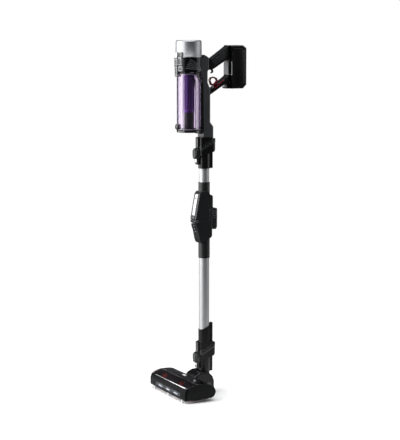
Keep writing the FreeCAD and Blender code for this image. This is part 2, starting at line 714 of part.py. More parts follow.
def make_handle():
    """Open grip behind the motor, with the trigger ring in it and the battery's dock."""
    body = new_body("handle")
    back = D["battery_front"] - D["gap"]
    wall = back - 3
    outline = [(13.3, 947), (62, 977), (back, 987), (back, 1099), (back - 3, 1099), (18, 1055.5),
               (8.3, 1061), (8.3, 1024), (26, 1027), (62, 1049), (wall, 1058), (wall, 1008),
               (30, 969.5), (13.3, 966)]
    pad(body, "YZ_Plane", outline, -D["handle_wide"] / 2, D["handle_wide"] / 2)
    half = D["handle_wide"] / 2
    soften(body, 10, at_corner(62, 977), at_corner(62, 1049), at_corner(26, 1027))
    keep("handle", body)
    slot = [(30, 965.2), (46, 977.6), (46, 992), (30, 982)]
    pocket(body, "YZ_Plane", slot, -3.2, 3.2)
    keep("dock_plate", block(-13, 13, wall - 2.8, wall - 0.2, 1010, 1055))

    trigger = new_body("trigger")
    ring = [(17, 992), (21, 1000), (32, 1003), (43, 998), (47, 985.5), (33, 974), (22, 976.5)]
    hole = [(20.6, 992), (23.4, 997), (31.8, 999.4), (40.2, 995.4), (43, 989.4), (32.4, 979), (24, 982)]
    pad(trigger, "YZ_Plane", ring, -5, 5)
    soften(trigger, 4, *[at_corner(*corner) for corner in ring])
    pocket(trigger, "YZ_Plane", hole, -6, 6)
    pad(trigger, "YZ_Plane", [(31, 976), (31, 967.4), (40, 974.4), (40, 981)], -2.8, 2.8)
    keep("trigger", trigger)
    keep("main_board", block(27, 28.6, -66, -42, 1024, 1050))


def make_battery():
    """Pack that slides off the back of the grip, with its cells and its release button."""
    front, back = D["battery_front"], D["battery_back"]
    low, high = D["battery_low"], D["battery_high"]
    half = D["battery_wide"] / 2
    case = new_body("battery_case")
    side = [(front, low), (front, high), (back - 12, high), (back, high - 9), (back, low + 12),
            (back - 12, low)]
    pad(case, "YZ_Plane", side, -half, half)
    soften(case, 4, *[at_corner(*corner) for corner in side[2:]])
    rims = in_plane(0, -half, half)
    soften(case, 5, lambda edge: rims(edge) and edge.BoundBox.YMax > front.number + 1)
    foot = [(71, 969), (74, low), (front + 4, low), (front + 4, 985.5), (71, 979.8)]
    pad(case, "YZ_Plane", foot, -14, 14)
    inside = box_points(front + 3, low + 4, back - 4, high - 4)
    pocket(case, "YZ_Plane", inside, 4 - half, half - 4)
    pocket(case, "YZ_Plane", box_points(70, 968.7, 74.6, 978.3), -8.3, 8.3)
    keep("battery_case", case)
    cells = [cylinder(9, 60, x, y, z) for x in (-12, 12) for y in (front + 14, front + 36)
             for z in (low + 5, low + 67)]
    keep("battery_cells", group(cells))
    button = new_body("battery_button")
    pad(button, "YZ_Plane", box_points(69, 969, 73.4, 978), -8, 8)
    soften(button, 1.5, in_plane(1, 69))
    keep("battery_button", button)


def make_bin():
    """Clear dust bin with the cyclone's ribbed shroud, a flap at its foot and two catches."""
    low, high, wall = D["bin_low"], D["bin_high"], D["bin_wall"]
    body = new_body("bin_outer")
    round_pad(body, "XY_Plane", [(0, BIN_Y, BIN_R)], low, high)
    corner = [(-12, 970), (-17, 976), (-19.5, 994), (-25.5, 1008), (-34, high), (-34, 1030), (-12, 1030)]
    pocket(body, "YZ_Plane", corner, -40, 40)
    inside = new_body("bin_inside")
    round_pad(inside, "XY_Plane", [(0, BIN_Y, BIN_R - wall)], low - 1, high - wall)
    deeper = [(-12, 968), (-19, 976), (-21.5, 993), (-27, 1006.5), (-36, high - wall), (-36, 1030),
              (-12, 1030)]
    pocket(inside, "YZ_Plane", deeper, -40, 40)
    hinge_y, hinge_z = BIN_Y + BIN_R - 2, low - 8
    lugs = []
    gaps = []
    for side in (-12.5, 12.5):
        lugs.append(block(side - 2, side + 2, hinge_y - 3.5, hinge_y + 2.5, hinge_z - 3, low + 3))
        gaps.append(block(side - 2.4, side + 2.4, hinge_y - 5, hinge_y + 5, hinge_z - 6, low + 1))
    hole = cylinder(1.5, 40, -20, hinge_y, hinge_z, "x")
    keep("dust_bin", cut(fuse(cut(body, inside, cylinder(14, 20, 0, BIN_Y, high - 10)), *lugs), hole))
    shroud = cylinder(18, high - wall - 0.2 - 893, 0, BIN_Y, 893)
    shroud_bore = cylinder(14.5, high - 893, 0, BIN_Y, 895)
    keep("cyclone_shroud", cut(shroud, shroud_bore))
    core = cylinder(16.5, 892.6 - low, 0, BIN_Y, low + 0.3)
    keep("cyclone_core", cut(core, cylinder(14, 892.6 - low, 0, BIN_Y, low + 4)))

    flap = cylinder(BIN_R, D["flap_thick"], 0, BIN_Y, low - D["flap_thick"] - D["gap"])
    knuckle = cylinder(3.5, 19, -9.5, hinge_y, hinge_z, "x")
    bore = cylinder(1.5 + D["running"], 40, -20, hinge_y, hinge_z, "x")
    keep("bin_flap", cut(fuse(flap, knuckle), bore, *gaps))
    keep("flap_pin", cylinder(1.5, 29, -14.5, hinge_y, hinge_z, "x"))

    catch = new_body("flap_latch")
    side = [(-97, 845), (-97, 853), (-94, 857), (-91.3, 857), (-91.3, 842), (-94, 841)]
    pad(catch, "YZ_Plane", side, -6, 6)
    soften(catch, 1.5, in_plane(0, -6, 6))
    keep("flap_latch", catch)
    latch = new_body("bin_latch")
    pad(latch, "YZ_Plane", box_points(-98, 1004, -95.4, 1036), -10, 10)
    soften(latch, 5, *[at_corner(x, 1004, 1) for x in (-10, 10)])
    keep("bin_latch", latch)


make_head()
make_neck()
make_wand()
make_spine()
make_motor_unit()
make_plug("inlet_plug", D["joint_top"], 97)
make_handle()
make_battery()
make_bin()

doc.recompute()
failed = []
for item in doc.Objects:
    if "Invalid" in item.State or "Error" in item.State:
        failed.append("%s in %s" % (item.Name, ", ".join(other.Label for other in item.InList)))
if failed:
    raise RuntimeError("failed: " + "; ".join(failed))
os.makedirs("parts", exist_ok=True)
for piece in PARTS:
    if piece.Shape.isNull() or not piece.Shape.isValid():
        raise RuntimeError("%s has no valid shape" % piece.Label)
    piece.Shape.exportStep("parts/%s.step" % piece.Label)
    box = piece.Shape.BoundBox
    print("%-22s solids %d  volume %9.0f  y %7.1f %7.1f  z %7.1f %7.1f" % (
        piece.Label, len(piece.Shape.Solids), piece.Shape.Volume, box.YMin, box.YMax, box.ZMin, box.ZMax))
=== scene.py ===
import math
import bpy
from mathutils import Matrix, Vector


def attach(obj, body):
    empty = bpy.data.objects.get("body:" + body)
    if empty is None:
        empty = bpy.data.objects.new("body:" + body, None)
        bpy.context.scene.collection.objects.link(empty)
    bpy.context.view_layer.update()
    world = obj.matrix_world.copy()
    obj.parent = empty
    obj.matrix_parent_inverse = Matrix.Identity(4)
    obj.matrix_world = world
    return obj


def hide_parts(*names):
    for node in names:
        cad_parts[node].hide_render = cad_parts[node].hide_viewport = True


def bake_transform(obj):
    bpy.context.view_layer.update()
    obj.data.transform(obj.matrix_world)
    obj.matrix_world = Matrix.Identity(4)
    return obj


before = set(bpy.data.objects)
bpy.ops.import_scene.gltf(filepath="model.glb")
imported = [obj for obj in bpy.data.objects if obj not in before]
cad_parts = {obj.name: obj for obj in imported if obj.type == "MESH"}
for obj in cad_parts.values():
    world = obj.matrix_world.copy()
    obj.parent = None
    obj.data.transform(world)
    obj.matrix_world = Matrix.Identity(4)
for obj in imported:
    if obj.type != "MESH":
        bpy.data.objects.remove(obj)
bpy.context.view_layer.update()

# ------------------------------------------------------------------ studio
# A set for pictures of products: a white floor that fades into white paper, a tall soft box on
# the viewer's left, a weaker one on the right and a panel overhead. Long lens, set well back.


def srgb(text):
    """The linear colour that a shader takes, from a hex colour as it is seen."""
    parts = [int(text[place:place + 2], 16) / 255 for place in (0, 2, 4)]
    return [part / 12.92 if part <= 0.04045 else ((part + 0.055) / 1.055) ** 2.4
            for part in parts] + [1]


def add(tree, kind, settings={}, links={}):
    """One new node: settings are its inputs or properties, links are sockets that feed it."""
    node = tree.nodes.new("ShaderNode" + kind)
    for name, value in settings.items():
        if isinstance(name, str) and name not in node.inputs:
            setattr(node, name, value)
        else:
            node.inputs[name].default_value = value
    for name, socket in links.items():
        tree.links.new(socket, node.inputs[name])
    return node


def new_material(name):
    """An empty material: its node tree, its shader and the object's coordinates in metres."""
    material = bpy.data.materials.new(name)
    material.use_nodes = True
    tree = material.node_tree
    return material, tree, tree.nodes["Principled BSDF"], add(tree, "TexCoord").outputs["Object"]


def set_shader(shader, **values):
    """Plain values on a shader's own sockets; an underscore stands for a space."""
    for name, value in values.items():
        shader.inputs[name.replace("_", " ")].default_value = value


def blend_colour(tree, factor, low, high):
    """The output of a colour mix; low and high are hex colours or sockets."""
    node = add(tree, "Mix", {"data_type": "RGBA"}, {0: factor})
    for socket, colour in ((6, low), (7, high)):
        if isinstance(colour, str):
            node.inputs[socket].default_value = srgb(colour)
        else:
            tree.links.new(colour, node.inputs[socket])
    return node.outputs[2]


def in_range(tree, value, low, high, to_low=0.0, to_high=1.0):
    """A value carried from one range to another and held inside it."""
    limits = {"From Min": low, "From Max": high, "To Min": to_low, "To Max": to_high}
    return add(tree, "MapRange", limits, {"Value": value}).outputs[0]


def look_at(thing, place, target):
    """Put a thing at a place and turn it to face a target."""
    thing.location = place
    thing.rotation_euler = (Vector(target) - Vector(place)).to_track_quat("-Z", "Y").to_euler()


view_azimuth = math.radians(62.5)
camera_distance = 4.43
camera_height = 1.14
pitch_down = math.radians(7.55)
turned_left = math.radians(0.166)
bpy.ops.object.camera_add(
    location=(camera_distance * math.sin(view_azimuth), -camera_distance * math.cos(view_azimuth),
              camera_height),
    rotation=(math.pi / 2 - pitch_down, 0, view_azimuth + turned_left))
camera = bpy.context.object
camera.data.lens = 115.9
bpy.context.scene.camera = camera
bpy.context.scene.view_settings.view_transform = "Standard"

# Each light: its place, width and height in metres, and radiance. All face the wand's middle.
middle_of_object = (0, 0, 0.6)
for label, place, width, height, radiance in (
        ("left_box", (-0.80, -2.17, 1.25), 4.4, 3.0, 3.6),
        ("right_box", (0.85, 2.45, 1.25), 2.0, 2.6, 1.5),
        ("ceiling_panel", (0.2, -0.2, 3.1), 3.0, 3.0, 3.4)):
    bpy.ops.object.light_add(type="AREA")
    lamp = bpy.context.object
    lamp.name = label
    lamp.data.shape = "RECTANGLE"
    lamp.data.size = width
    lamp.data.size_y = height
    lamp.data.energy = radiance * math.pi * width * height
    look_at(lamp, place, middle_of_object)

# White paper for the eye, but a dim room for what the surfaces reflect.
world = bpy.data.worlds.new("studio_white")
world.use_nodes = True
bpy.context.scene.world = world
sky = world.node_tree
paper = add(sky, "Background", {"Color": srgb("FFFFFF"), "Strength": 1.0})
room = add(sky, "Background", {"Color": srgb("D8DCE4"), "Strength": 0.10})
seen = add(sky, "LightPath")
both = add(sky, "MixShader", {},
           {0: seen.outputs["Is Camera Ray"], 1: room.outputs[0], 2: paper.outputs[0]})
sky.links.new(both.outputs[0], sky.nodes["World Output"].inputs["Surface"])

# Matt paint on a disc that fades out around the head, so the shadow ends in white paper.
bpy.ops.mesh.primitive_circle_add(vertices=96, radius=2.4, fill_type="NGON")
floor = bpy.context.object
floor.name = "studio_floor"
floor_paint, tree, shader, where = new_material("matt_white_floor_paint")
speckle = add(tree, "TexNoise", {"Scale": 60.0, "Detail": 4.0}, {"Vector": where})
away = add(tree, "VectorMath", {"operation": "LENGTH"}, {0: where}).outputs["Value"]
paint = blend_colour(tree, speckle.outputs[0], "F8F8F8", "FCFCFC")
tree.links.new(paint, shader.inputs["Base Color"])
tree.links.new(in_range(tree, away, 0.34, 0.85, 1.0, 0.0), shader.inputs["Alpha"])
set_shader(shader, Roughness=0.95, Specular_IOR_Level=0.05)
floor.data.materials.append(floor_paint)

# ------------------------------------------------------------------ ways of making
# Mouldings are drawn as outlines in millimetres, pushed out or spun, and get round edges; their
# plastic has an eroded grain, faint flow marks and a painted highlight: paler colour on its edges.
MM = 0.001
AXES = {"X": (1, 0, 0), "Y": (0, 1, 0), "Z": (0, 0, 1)}
SIDES = ((-1, "left"), (1, "right"))
WAVE_SCALE = 314        # the wave texture's scale for one band a millimetre


def trace(name, points):
    """A chain of edges through the points, drawn by extruding one vertex; left in edit mode."""
    bpy.ops.object.select_all(action="DESELECT")
    bpy.ops.mesh.primitive_plane_add(size=0.01)
    piece = bpy.context.object
    piece.name = name
    bpy.ops.object.mode_set(mode="EDIT")
    bpy.ops.mesh.select_all(action="SELECT")
    bpy.ops.mesh.merge(type="CENTER")
    places = [Vector(point) * MM for point in points]
    bpy.ops.transform.translate(value=places[0])
    for before, after in zip(places, places[1:]):
        bpy.ops.mesh.extrude_region_move(TRANSFORM_OT_translate={"value": after - before})
    bpy.ops.mesh.select_all(action="SELECT")
    return piece


def close_up(join_within=1e-6):
    """Merge what meets, turn the faces outward and leave edit mode."""
    bpy.ops.mesh.select_all(action="SELECT")
    bpy.ops.mesh.remove_doubles(threshold=join_within)
    bpy.ops.mesh.normals_make_consistent(inside=False)
    bpy.ops.object.mode_set(mode="OBJECT")


def work(piece, kind, **settings):
    """Add a modifier to the piece and apply it."""
    bpy.ops.object.select_all(action="DESELECT")
    bpy.context.view_layer.objects.active = piece
    piece.select_set(True)
    modifier = piece.modifiers.new("work", kind)
    for name, value in settings.items():
        setattr(modifier, name, value)
    bpy.ops.object.modifier_apply(modifier="work")


def soften(piece, radius, segments=3, sharp=30):
    """Round the edges that are sharper than an angle in degrees."""
    work(piece, "BEVEL", width=radius * MM, segments=segments, angle_limit=math.radians(sharp))
    return piece


def slab(name, outline, depth, rounding=0, segments=3):
    """A closed outline of 3-D points pushed out along a vector, its edges rounded."""
    piece = trace(name, list(outline) + [outline[0]])
    bpy.ops.mesh.remove_doubles(threshold=1e-6)
    bpy.ops.mesh.edge_face_add()
    bpy.ops.mesh.extrude_region_move(TRANSFORM_OT_translate={"value": Vector(depth) * MM})
    close_up()
    return soften(piece, rounding, segments) if rounding else piece


def side_slab(name, outline, low, high, rounding=0, segments=3):
    """A slab whose outline is drawn in the side view, as (y, z), from one x to another."""
    return slab(name, [(low, y, z) for y, z in outline], (high - low, 0, 0), rounding, segments)


def spun(name, profile, centre, axis="Z", steps=64, angle=360, closed=True):
    """A profile turned about an axis; a part turn gets flat ends."""
    piece = trace(name, list(profile) + [profile[0]] if closed else profile)
    bpy.ops.mesh.spin(steps=steps, angle=math.radians(angle), center=Vector(centre) * MM,
                      axis=AXES[axis])
    bpy.ops.mesh.select_all(action="SELECT")
    bpy.ops.mesh.remove_doubles(threshold=2e-5)
    if angle < 360:
        bpy.ops.mesh.fill_holes(sides=0)
    close_up()
    return piece


def ring(name, centre, inner, outer, low, high, rounding=0.3, steps=64):
    """A round hoop about Z, between two radii and two heights."""
    x, y = centre
    profile = [(x + inner, y, low), (x + outer, y, low), (x + outer, y, high), (x + inner, y, high)]
    return soften(spun(name, profile, (x, y, 0), "Z", steps), rounding, 2)


def button_disc(name, centre, radius, low, high, rounding=0.5, steps=40, dish=0.0):
    """A round boss along X, with a dished outer face when dish is not zero."""
    y, z = centre
    profile = [(low, y, z), (low, y + radius, z), (high, y + radius, z),
               (high, y + radius * 0.72, z), (high - dish, y + radius * 0.62, z),
               (high - dish, y, z)]
    piece = spun(name, profile, (0, y, z), "X", steps, closed=False)
    return soften(piece, rounding, 2)


def carve(piece, cutter, operation="DIFFERENCE"):
    """Cut one closed piece with another, which is used up."""
    work(piece, "BOOLEAN", object=cutter, operation=operation, solver="EXACT")
    bpy.data.objects.remove(cutter)
    return piece


def several(pieces, name):
    """Join like pieces into one object."""
    bpy.ops.object.select_all(action="DESELECT")
    for piece in pieces:
        piece.select_set(True)
    bpy.context.view_layer.objects.active = pieces[0]
    bpy.ops.object.join()
    pieces[0].name = name
    return pieces[0]


def fit(piece, body, material, instead_of=None, smooth=35):
    """Finish a piece: shading, material, the body it moves with, if one, and the CAD piece it
    replaces, hidden.
    """
    bpy.ops.object.select_all(action="DESELECT")
    bpy.context.view_layer.objects.active = piece
    piece.select_set(True)
    bpy.ops.object.shade_smooth_by_angle(angle=math.radians(smooth))
    piece.data.materials.clear()
    piece.data.materials.append(material)
    if body:
        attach(piece, body)
    if instead_of:
        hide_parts(instead_of)
    return piece


def dress(material, *nodes):
    """Give carried-over CAD pieces a finish."""
    for node in nodes:
        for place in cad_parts[node].material_slots:
            place.material = material


def moulded(name, dark, pale, roughness, grain_mm=0.7, grain_depth=0.05, coat=0.0, edge_mm=0.7,
            edge_highlight="4A4B4E", edge_highlight_share=0.35, lines_mm=0.0, shine=0.5):
    """Moulded plastic: eroded grain, flow marks, soft edges with a painted highlight, and fine
    ribs.
    """
    material, tree, shader, where = new_material(name)
    grain = add(tree, "TexNoise", {"Scale": 1000 / grain_mm, "Detail": 3.0},
                {"Vector": where}).outputs[0]
    flow = add(tree, "TexNoise", {"Scale": 18.0, "Detail": 5.0, "Distortion": 0.6},
               {"Vector": where}).outputs[0]
    rounded = add(tree, "Bevel", {"samples": 6, "Radius": edge_mm * MM}).outputs[0]
    flat = add(tree, "NewGeometry").outputs["Normal"]
    turned = add(tree, "VectorMath", {"operation": "DOT_PRODUCT"},
                 {0: rounded, 1: flat}).outputs["Value"]
    # Rounded edges get the paler edge colour: a painted highlight.
    edge = in_range(tree, turned, 0.985, 0.80, 0.0, edge_highlight_share)
    colour = blend_colour(tree, edge, blend_colour(tree, flow, dark, pale), edge_highlight)
    height = grain
    if lines_mm:
        ribs = add(tree, "TexWave", {"bands_direction": "Y", "Scale": WAVE_SCALE / lines_mm},
                   {"Vector": where}).outputs["Fac"]
        height = add(tree, "Math", {"operation": "ADD"}, {0: grain, 1: ribs}).outputs[0]
    bump = add(tree, "Bump", {"Strength": 0.4, "Distance": grain_depth * MM},
               {"Height": height, "Normal": rounded})
    tree.links.new(colour, shader.inputs["Base Color"])
    tree.links.new(in_range(tree, flow, 0, 1, roughness - 0.05, roughness + 0.07),
                   shader.inputs["Roughness"])
    tree.links.new(bump.outputs[0], shader.inputs["Normal"])
    set_shader(shader, IOR=1.5, Coat_Weight=coat, Coat_Roughness=0.06,
               Specular_IOR_Level=shine)
    return material


def metal(name, dark, pale, roughness, along, fine_mm=0.25, long_mm=60, anisotropy=0.0):
    """Drawn, brushed or turned metal, with its hairlines along one axis of the object."""
    material, tree, shader, where = new_material(name)
    scales = [1000 / fine_mm] * 3
    scales["XYZ".index(along)] = 1000 / long_mm
    stretched = add(tree, "Mapping", {"vector_type": "POINT", "Scale": scales},
                    {"Vector": where}).outputs[0]
    lines = add(tree, "TexNoise", {"Scale": 1.0, "Detail": 4.0}, {"Vector": stretched}).outputs[0]
    cloud = add(tree, "TexNoise", {"Scale": 14.0, "Detail": 3.0}, {"Vector": where}).outputs[0]
    mixed = blend_colour(tree, in_range(tree, lines, 0.3, 0.7), dark, pale)
    tree.links.new(mixed, shader.inputs["Base Color"])
    tree.links.new(in_range(tree, cloud, 0.3, 0.7, roughness - 0.04, roughness + 0.05),
                   shader.inputs["Roughness"])
    bump = add(tree, "Bump", {"Strength": 0.12, "Distance": 0.01 * MM}, {"Height": lines})
    tree.links.new(bump.outputs[0], shader.inputs["Normal"])
    set_shader(shader, Metallic=1.0, Anisotropic=anisotropy)
    return material


def clear(name, tint, gloss_roughness=0.04, gloss=0.05, haze=None):
    """Transparent moulding: tinted where light crosses each face, and glossy by Fresnel."""
    material, tree, shader, where = new_material(name)
    swirl = add(tree, "TexNoise", {"Scale": 25.0, "Detail": 2.0, "Distortion": 0.8},
                {"Vector": where})
    facing = add(tree, "LayerWeight", {"Blend": 0.35})
    tinted = blend_colour(tree, facing.outputs["Facing"], tint, haze or tint)
    through = add(tree, "BsdfTransparent", {}, {"Color": tinted})
    shine = add(tree, "BsdfGlossy", {"Roughness": gloss_roughness})
    soft = in_range(tree, swirl.outputs[0], 0.3, 0.7, gloss_roughness, gloss_roughness + 0.03)
    tree.links.new(soft, shine.inputs["Roughness"])
    amount = add(tree, "Math", {"operation": "MULTIPLY_ADD", 1: 0.55, 2: gloss},
                 {0: facing.outputs["Fresnel"]}).outputs[0]
    mixed = add(tree, "MixShader", {}, {0: amount, 1: through.outputs[0], 2: shine.outputs[0]})
    tree.links.new(mixed.outputs[0], tree.nodes["Material Output"].inputs["Surface"])
    return material


# Each moulding below also gets its edges painted paler, in the edge colour given: a painted
# highlight.
# Black ABS from a finely textured tool: narrow, soft highlights.
satin_abs = moulded("satin_black_abs", "09090A", "0F0F10", 0.27, shine=0.28)
# Black ABS from a polished tool under clear lacquer: it mirrors the soft boxes.
polished_abs = moulded("polished_black_abs", "040405", "070708", 0.12, 2.5, 0.01, 0.4, edge_highlight_share=0.12)
# Charcoal ABS from a spark-eroded tool: matt, with fine ribs 1.6 mm apart.
eroded_abs = moulded("eroded_charcoal_abs", "0C0D0E", "131415", 0.5, 0.9, 0.12, lines_mm=1.6,
                     shine=0.1)
# ABS dyed in greys, satin, so that each part stands out from the black beside it.
graphite_abs = moulded("satin_graphite_abs", "1C1D1E", "252627", 0.32)
grey_abs = moulded("satin_grey_abs", "343538", "404144", 0.34)
# Nearly black bumper: its face takes almost no sheen, even at a low angle.
head_abs = moulded("satin_bumper_abs", "0A0A0B", "101112", 0.36, edge_highlight_share=0.25, shine=0.03)
# Polished black without lacquer: a dim, clean reflection.
fork_abs = moulded("polished_fork_abs", "050506", "08080A", 0.18, 2.5, 0.01, edge_highlight_share=0.1, shine=0.25)
pale_abs = moulded("satin_pale_grey_abs", "55565A", "626367", 0.36, edge_highlight="85868A")
# ABS sprayed with silver or dark red lacquer: an even colour with a bright, clean gloss.
silver_abs = moulded("silver_lacquered_abs", "D6D7D9", "E6E6E8", 0.24, 0.9, 0.02, 0.5,
                     edge_highlight="E2E2E4")
red_abs = moulded("dark_red_gloss_abs", "5E0410", "84091A", 0.2, 2.0, 0.01, 0.7, edge_highlight="7A1420")
# Moulded rubber and pressed felt: dull, with a coarse grain.
soft_rubber = moulded("moulded_rubber", "0B0B0C", "131314", 0.65, 1.2, 0.15)
felt = moulded("pressed_white_felt", "C4C4C6", "D6D6D8", 0.95, 0.8, 0.5)
# Satin chrome, turned steel and turned brass: bright, with hairlines along the part.
chrome = metal("satin_chrome_plating", "DADBDE", "F2F2F4", 0.34, "X", 0.4, 20)
steel = metal("turned_steel", "85868A", "A6A7AB", 0.28, "X", 0.2, 12)
brass = metal("turned_brass", "9A7A3A", "C6A35A", 0.3, "X", 0.2, 12)

# ------------------------------------------------------------------ floor head
# A moulded tray and bumper carry a smoked window over the brush, a lamp strip behind a ribbed
# lens, and two textured side caps with a pressed-in field and a black gasket at their root.
dress(satin_abs, "head_chassis")
dress(steel, "roller_axle", "wheel_axles")
dress(brass, "motor_pinion")

HEAD_HALF = 125.2       # half the width of what runs across between the end caps
LAMP_PLACES = (-51, 3, 57)
cap_outline = [(-91, 9), (-125, 13), (-124.2, 22), (-122.6, 34), (-121, 41), (-117.5, 46),
               (-112, 50.4), (-104, 54), (-95, 56.6), (-84, 57), (-66, 57), (-52, 55.4),
               (-40, 51.4), (-31, 45), (-25.5, 37), (-24.8, 29), (-27.4, 20), (-33, 14.4),
               (-40, 12)]
middle_y, middle_z = -76, 32
for side, hand in SIDES:
    cap = side_slab("end_cap_%s_moulding" % hand, cap_outline, 125.6 * side, 127.9 * side)
    for face in cap.data.polygons:
        face.select = face.normal.x * side > 0.9
    bpy.ops.object.mode_set(mode="EDIT")
    bpy.ops.mesh.select_mode(type="FACE")
    for step_in, push in ((2.2, 0), (0.7, -0.9), (3.0, -0.1), (0.6, 0.35)):
        bpy.ops.mesh.inset(thickness=step_in * MM)
        bpy.ops.transform.translate(value=(push * side * MM, 0, 0))
    bpy.ops.mesh.select_mode(type="VERT")
    close_up()
    soften(cap, 0.7, 3, 25)
    fit(cap, "head", eroded_abs, "end_cap_" + hand)
    shrunk = [(middle_y + (y - middle_y) * 0.985, middle_z + (z - middle_z) * 0.97)
              for y, z in cap_outline]
    cheek = side_slab("head_cheek_" + hand, shrunk, 115.8 * side, 125.8 * side)
    fit(cheek, "head", satin_abs)

# The bumper runs across in front of the caps; its face leans back above a rounded ridge.
bumper_line = [(-129, 10), (-131, 14), (-131, 35.5), (-126.2, 46.6), (-120.5, 46.6),
               (-120.5, 13.4), (-125.4, 13.4), (-125.4, 10)]
bumper = side_slab("bumper_moulding", bumper_line, -HEAD_HALF, HEAD_HALF, 1.3, 4)
for outline, half in (([(-132, 15.5), (-132, 29), (-125.5, 29), (-125.5, 15.5)], 90),
                      ([(-126, 17), (-126, 28), (-122.5, 28), (-122.5, 17)], 84)):
    carve(bumper, side_slab("recess", outline, -half, half))
fit(bumper, "head", head_abs, "front_bumper")
foot_line = [(-129, 10.2), (-128.4, 1), (-127.6, 0), (-126.6, 1), (-126, 10.2)]
feet = [side_slab("foot", foot_line, x - 2.5, x + 2.5, 0.4, 2) for x in (-98, 0, 98)]
fit(several(feet, "front_feet"), "head", felt, "front_felts")

# Chrome bead pressed into a groove along the window's lower edge.
bead_line = [(-125.7, 47.2), (-125.95, 47.9), (-124.5, 49.2), (-123.9, 49.0)]
fit(side_slab("window_trim_bead", bead_line, -96, 112, 0.2, 2), "head", chrome,
    "window_trim")

# Smoked polycarbonate, so dark that only the brush's bright stripes show.
smoked = clear("smoked_polycarbonate", "EEE6E8", 0.05, 0.02, "A8A0A2")
window_shell = [(-126.2, 46.9), (-121, 51.6), (-108, 56), (-95, 58.4), (-88, 58.5), (-88, 56.6),
                (-95, 56.4), (-107, 54), (-119.6, 49.8), (-122.6, 46.9)]
fit(side_slab("window_moulding", window_shell, -HEAD_HALF, HEAD_HALF, 0.5, 3), "head",
    smoked, "roller_window")
cover_line = [(-87.7, 56), (-87.7, 58.5), (-74, 58.5), (-62, 57.8), (-52, 56), (-44, 53.2),
              (-38, 50.4), (-32, 46.4), (-27, 44.3), (-30, 44.3), (-40, 48.5), (-62, 55.5)]
cover = side_slab("head_cover_moulding", cover_line, -HEAD_HALF, HEAD_HALF, 0.6, 3)
carve(cover, side_slab("well", [(-54.4, 30), (-54.4, 70), (-10, 70), (-10, 30)], -34.4, 34.4))
fit(cover, "head", polished_abs, "head_cover")

# The lens is ribbed on the inside; the light of the three lamps dies away between them.
lens_glass, tree, shader, where = new_material("ribbed_lamp_lens")
along = add(tree, "SeparateXYZ", {}, {0: where}).outputs["X"]
glow = None
for lamp_x in LAMP_PLACES:
    offset = add(tree, "Math", {"operation": "SUBTRACT", 1: lamp_x * MM}, {0: along}).outputs[0]
    apart = add(tree, "Math", {"operation": "ABSOLUTE"}, {0: offset}).outputs[0]
    near = in_range(tree, apart, 0.022, 0.008, 0.0, 1.0)
    if glow is not None:
        near = add(tree, "Math", {"operation": "ADD"}, {0: glow, 1: near}).outputs[0]
    glow = near
bright = add(tree, "Math", {"operation": "POWER", 1: 2.2}, {0: glow}).outputs[0]
strength = add(tree, "Math", {"operation": "MULTIPLY", 1: 0.12}, {0: bright}).outputs[0]
prisms = add(tree, "TexWave", {"bands_direction": "X", "Scale": 160.0},
             {"Vector": where}).outputs["Fac"]
prism_bump = add(tree, "Bump", {"Strength": 0.7, "Distance": 0.2 * MM}, {"Height": prisms})
tree.links.new(blend_colour(tree, prisms, "0C0E12", "1C2026"), shader.inputs["Base Color"])
tree.links.new(strength, shader.inputs["Emission Strength"])
tree.links.new(prism_bump.outputs[0], shader.inputs["Normal"])
set_shader(shader, Roughness=0.25, Emission_Color=srgb("DCE8FF"), Specular_IOR_Level=0.2)
dress(lens_glass, "led_lens")

# Lit lamps: a thin bright dash each, faintly speckled like phosphor.
lamp_glass, tree, shader, where = new_material("lit_led_phosphor")
spark = add(tree, "TexNoise", {"Scale": 900.0, "Detail": 2.0}, {"Vector": where}).outputs[0]
tree.links.new(blend_colour(tree, spark, "F4F8FF", "FFFFFF"), shader.inputs["Base Color"])
tree.links.new(in_range(tree, spark, 0.2, 0.8, 0.5, 0.8), shader.inputs["Emission Strength"])
set_shader(shader, Emission_Color=srgb("EAF2FF"), Roughness=0.3)
lamp_line = [(-130.75, 20.9), (-130.75, 21.8), (-130.2, 21.8), (-130.2, 20.9)]
lamps = [side_slab("lamp", lamp_line, x - 13, x + 13, 0.25, 2) for x in LAMP_PLACES]
fit(several(lamps, "led_lamps"), "head", lamp_glass)

# Slide that frees the window, and the cap of its screw.
slide_line = [(-69.5, 57.6), (-69.5, 58.9), (-68, 59.4), (-62.5, 59.2), (-61.5, 58), (-61.5, 57.4)]
fit(side_slab("window_slide", slide_line, -17, 1, 0.3, 2), "head", silver_abs)
dot = [(80, -74, 57.5), (85.5, -74, 57.5), (85.5, -74, 58.9), (84.5, -74, 59.2), (80, -74, 59.3)]
fit(spun("cover_screw_cap", dot, (80, -74, 0), "Z", 36, closed=False), "head",
    pale_abs)

# ------------------------------------------------------------------ brush roller
# A moulded core wound with dense nylon pile: rows of tufts that run round it like a screw, most
# of them black and a few of them red. The pile is cut to a cylinder.
ROLLER_HALF = 95
ROLLER_Y, ROLLER_Z = -92, 27
PILE_ROOT, PILE_TIP = 13.6, 20.4
ROWS, TURNS = 14, 1.64
RED_ROWS = (0, 1, 2)


def nylon(name, dark, pale):
    """Cut nylon pile, dull with a slight sheen; its strands are 0.4 mm thick."""
    material, tree, shader, where = new_material(name)
    strands = add(tree, "TexNoise", {"Scale": 1000 / 0.4, "Detail": 2.0}, {"Vector": where})
    tree.links.new(blend_colour(tree, strands.outputs[0], dark, pale), shader.inputs["Base Color"])
    set_shader(shader, Roughness=0.6, Sheen_Weight=0.3)
    return material


